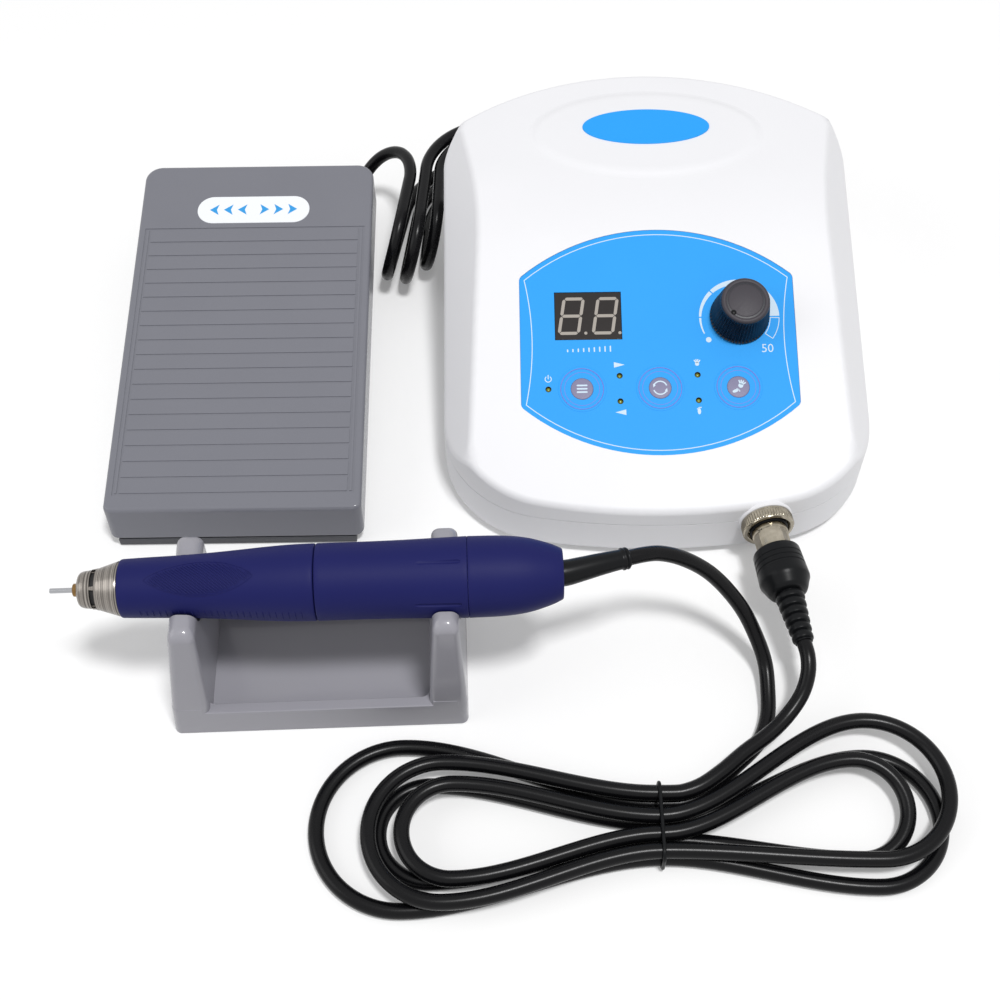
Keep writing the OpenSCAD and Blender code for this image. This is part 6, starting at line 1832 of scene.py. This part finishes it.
        along = [z0 + (z1 - z0) * k / 40 for k in range(41)]
        for side in (-1, 1):
            patch.tube([self.on_sleeve(z, middle + side * edge(z), 0.0) for z in along], 0.16, 8)
        pitch, lean = 1.25, 0.24
        count = int((z1 - z0) / pitch)
        for k in range(-4, count + 4):
            start = z0 + k * pitch
            ridge = []
            for m in range(25):
                a = -half + 2 * half * m / 24
                z = start + lean * a
                if z0 < z < z1 and abs(a) < edge(z) - 1.5:
                    ridge.append(self.on_sleeve(z, middle + a, 0.02))
            if len(ridge) > 2:
                patch.tube(ridge, 0.26, 8, [0.35] + [1.0] * (len(ridge) - 2) + [0.35])
        patch.finish("grip_ridges", Look.NAVY, Body.CHUCK, sharp=60)
        ribs, middle = Shape(), self.view_side + 56.0
        first, gap, count = 21.0, 2.1, 26
        for k in range(count):
            rib = [self.on_sleeve(first + gap * k, middle + a, 0.02) for a in (-11, -9, -4, 0, 4, 9, 11)]
            ribs.tube(rib, 0.22, 8, [0.2, 0.8, 1.0, 1.0, 1.0, 0.8, 0.2])
        ribs.finish("grip_side_ribs", Look.NAVY, Body.CHUCK, sharp=60)

    def boot(self) -> None:
        """Smooth tapering boot on the cord, stepped at its end."""
        path = [(15.4, -102.18, 57), (20, -102.07, 57), (26.4, -101.7, 57), (32, -100.2, 56.9), (38, -98.3, 56.6),
                (43.5, -96.5, 56), (48, -95, 55.3)]
        radii = [4.5, 4.5, 4.4, 4.1, 3.8, 3.5, 3.3]
        route = flow(path, 0.45)
        last, scales = len(route) - 1, []
        for i in range(len(route)):
            t = i / last * (len(radii) - 1)
            k = min(int(t), len(radii) - 2)
            band = 0.45 if last - i in (1, 2, 4, 5) else 0.0
            scales.append(radii[k] + (radii[k + 1] - radii[k]) * (t - k) + band)
        Shape().tube(route, 1.0, 24, scales).finish("cord_boot_moulding", Look.PLUG, Body.HANDPIECE, "cord_boot",
                                                    sharp=60)


@dataclass
class Cradle:
    """Stand of the handpiece, one glossy moulding: a tray with a forked post at each end."""

    length: float = 103.0
    depth: float = 50.0
    rail: float = 16.0
    lip: float = 13.2
    lip_half: float = 39.5
    end_block: float = 13.0
    floor: float = 5.0
    wall: float = 4.5
    foot: Pair = (6.5, 24.4)
    draft: Pair = (1.5, 0.7)
    top: Pair = (4.5, 20.7)
    height: float = 58.5
    crown: float = 4.2
    axis_height: float = AXIS_HEIGHT
    place: Matrix = field(default_factory=STAND_PLACE.copy)

    def fork(self, x: float, lean: float, rest: float) -> Shape:
        """A tapered post pair with a round rest for the handpiece.

        Args:
            x: place of its foot along the tray.
            lean: lean in degrees.
            rest: radius of the rest.

        Returns:
            The closed shape in the cradle's own place.
        """
        loops, crown = [], self.crown
        low, end = self.rail * 0.8, self.height - crown
        heights = [1.0, low, low + 8, low + 18, low + 30]
        heights += [end + crown * math.sin(math.radians(15 * k)) for k in range(6)] + [self.height]
        for z in heights:
            t = min(max((z - low) / (end - low), 0.0), 1.0)
            hx, hy = (a + (b - a) * t for a, b in zip(self.foot, self.top))
            over = max(z - end, 0.0) / crown
            cut = 1 - math.sqrt(max(1 - over * over, 0.0))
            hx, hy = hx - 3.2 * cut, hy - crown * cut
            loops.append([(u, v, z) for u, v in rounded(2 * hx, 2 * hy, min(2.4, hx - 0.3), 6)])
        shape = Shape().loft(loops, at(x, 0, 0) @ turn(lean, "Y"))
        reach = 40
        slot = Shape().rod(rest, 0, 2 * reach, 64, at(x - reach, 0, self.axis_height) @ turn(90, "Y"))
        above = Shape().box((x - reach, -rest, self.axis_height), (x + reach, rest, 90))
        return shape.carve(slot, above)

    def build(self) -> None:
        """Builds the tray and both forks."""
        tray = Shape().prism(rounded(self.length, self.depth, 2.6, 8), 0.0, self.rail)
        for v in tray.bm.verts:
            if v.co.z > 1:
                v.co.x *= 1 - 2 * self.draft[0] / self.length
                v.co.y *= 1 - 2 * self.draft[1] / self.depth
        well = Shape().prism(rounded(self.length - 2 * self.end_block, self.depth - 2 * self.wall, 3.0, 8),
                             self.floor, self.rail + 5)
        tray.carve(well, Shape().box((-self.lip_half, -self.depth, self.lip), (self.lip_half, 0.0, self.rail + 5)))
        tray.soften(0.5, 3, lambda e: min(v.co.z for v in e.verts) > self.lip - 0.01
                    and e.calc_face_angle(0.0) > math.radians(45))
        tray.soften(0.5, 2, lambda e: max(v.co.z for v in e.verts) < 0.01 and e.calc_face_angle(0.0) > math.radians(45))
        for shape, name, nodes in ((tray, "handpiece_cradle_tray", ("handpiece_cradle",)),
                                   (self.fork(-44.9, 5.0, 11.6), "handpiece_cradle_nose_fork", ()),
                                   (self.fork(44.7, 0.8, 13.9), "handpiece_cradle_tail_fork", ())):
            shape.move(self.place).finish(name, Look.CRADLE, Body.ROOT, *nodes, even=True, sharp=50)


@dataclass
class Pedal:
    """Foot pedal: ribbed cover on its hinge, dark base and the parts inside."""

    width: float = 96.0
    length: float = 169.5
    clear: float = 4.5
    height: float = 17.5
    wall: float = 2.4
    angle: float = 6.3
    hinge: Pair = (14.0, 9.5)
    grooves: int = 19
    pitch: float = 6.93
    first: float = 10.55
    groove: Pair = (0.9, 0.28)
    margin: float = 5.0
    line_gap: float = 1.7
    ear_x: float = 36.0
    skirt_inset: float = 3.0
    skirt: tuple[Pair, Pair] = ((1.0, 0.6), (8.0, 4.2))
    pin_bore: float = 2.06
    toe: float = 3.4
    heel: float = 7.0
    draft: float = 4.0
    label: Triple = (46.4, 13.8, 145.4)
    spring_keep: float = 0.62
    front_lift: float = 2.0
    place: Matrix = field(default_factory=lambda: at(-94.0, -52.0, 0.0))

    @property
    def cover(self) -> Matrix:
        """Place of the cover at rest."""
        y, z = self.hinge
        return self.place @ at(0, y, z) @ turn(self.angle, "X") @ at(0, -y, -z)

    @property
    def crest(self) -> float:
        """Height of the tread before the cover is tilted."""
        return self.clear + self.height

    def outline(self, i: float) -> list[Pair]:
        """Plan of the cover drawn in by i."""
        w, n, a, b = self.width / 2, self.length, self.toe, self.heel
        return (arc(w - a, a, a - i, -90, 0, 8) + arc(w - b, n - b, b - i, 0, 90, 12)
                + arc(-w + b, n - b, b - i, 90, 180, 12) + arc(-w + a, a, a - i, 180, 270, 8))

    def build(self) -> None:
        """Builds the cover, its label and the base, and dresses the rest."""
        self.cover_pieces()
        self.label_pieces()
        self.base_pieces()
        dress(Look.ZINC, "pedal_hinge_pin")
        dress(Look.BLACK, "pedal_switch")
        dress(Look.RED, "pedal_plunger")

    def cover_pieces(self) -> None:
        """Hollow cover with its grooves and drafted front, and the ears of its hinge."""
        top = self.crest
        cover = Shape().prism(self.outline(0.0), self.clear, top)
        cover.soften(1.5, 5, lambda e: min(v.co.z for v in e.verts) > top - 0.01)
        cover.soften(0.7, 2, lambda e: max(v.co.z for v in e.verts) < self.clear + 0.01)
        w, d = self.groove
        across, along = Shape(), Shape()
        half = self.width / 2 - self.margin
        for k in range(self.grooves):
            y = self.first + k * self.pitch
            reach = half + (self.line_gap + w / 2 if k in (0, self.grooves - 1) else 0.0)
            across.box((-reach, y, top - d), (reach, y + w, top + 3))
        last = self.first + (self.grooves - 1) * self.pitch + w
        for side in (-1, 1):
            for x in (half, half + self.line_gap):
                along.box((side * x - w / 2, self.first, top - d * 0.9), (side * x + w / 2, last, top + 3))
        for v in cover.bm.verts:
            if v.co.z < self.clear + 1:
                v.co.z += self.front_lift * max(1 - v.co.y / 60, 0.0)
        inside = Shape().prism(self.outline(self.wall), self.clear - 1, top - 2.6)
        for v in cover.bm.verts[:] + inside.bm.verts[:]:
            v.co.y += self.draft * (v.co.z - self.clear) / self.height * max(1 - v.co.y / 20, 0.0)
        gland = Shape().box((30, self.length - 6, 0), (44, self.length + 14, self.clear + 11))
        cover.carve(inside, across, along, gland)
        ears, (y, z) = Shape(), self.hinge
        for x in (-self.ear_x, self.ear_x):
            ears.box((x - 2, y - 4, z - 3.8), (x + 2, y + 4, top - 2.5))
        ears.carve(Shape().rod(self.pin_bore, -80, 80, 32, at(0, y, z) @ turn(90, "Y")))
        for shape, name, nodes in ((cover, "pedal_cover_moulding", ("pedal_cover",)), (ears, "pedal_cover_ears", ())):
            shape.move(self.cover).finish(name, Look.PEDAL, Body.PEDAL, *nodes, even=True, sharp=38)

    def label_pieces(self) -> None:
        """Rounded label with a row of arrows to each side."""
        lw, ld, ly = self.label
        spot = self.cover @ at(-1.2, ly, self.crest)
        Shape().prism(rounded(lw, ld, ld / 2 - 0.1, 12), -0.05, 0.3, spot, soft=0.15).finish(
            "pedal_label_vinyl", Look.LABEL, Body.PEDAL, "pedal_label", even=True)
        marks = Shape()
        for side in (-1, 1):
            for k in range(3):
                x, tip = side * (4.6 + 5.8 * k), side * 1.9
                marks.prism([(x - tip, -2.7), (x + tip, 0.0), (x - tip, 2.7), (x - side * 1.0, 0.0)], 0.29, 0.33, spot)
        marks.finish("pedal_label_arrows", Look.MARK, Body.PEDAL)

    def base_pieces(self) -> None:
        """Dark base with the lip under the cover's front, which also darkens the gap there as painted shade, and the
        spring that the pedal squashes.
        """
        x, (y0, z0), (y1, z1) = self.width / 2 - self.skirt_inset, *self.skirt
        # the dark lip under the cover's front is partly the base and partly painted shade of the gap
        skirt = Shape().box((-x, y0, z0), (x, y1, z1), self.place)
        skirt.finish("pedal_base_skirt_gap_shade", Look.BASE, Body.ROOT, round_by=0.4, even=True)
        Shape().copy_node("pedal_base").finish("pedal_base_moulding", Look.BASE, Body.ROOT, "pedal_base", round_by=0.6,
                                               even=True)
        spring = Shape().copy_node("pedal_spring").finish("pedal_return_spring", Look.ZINC, Body.ROOT, "pedal_spring")
        foot = Vector(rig.box("pedal_spring")[0])
        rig.squash(spring, "pedal_press", axis=(0, 0, 1), anchor=tuple(foot), keep=self.spring_keep)


def main() -> None:
    """Builds the set around its frame."""
    logging.basicConfig(level=logging.INFO)
    Studio().build()
    cords = Cords()
    cords.build()
    plug, jack = ControlBox().build()
    Handpiece().build()
    Cradle().build()
    Pedal().build()
    cords.declare(plug, jack)
    LOG.info("handpiece cord %.0f mm, pedal cord %.0f mm", length_of(cords.motor), length_of(cords.foot))
    with open("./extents.json", "w", encoding="utf-8") as out:
        json.dump({"cad": [list(v) for v in CAD_BOX], "scene": [list(v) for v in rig.bounds()]}, out)


if __name__ == "__main__":
    main()
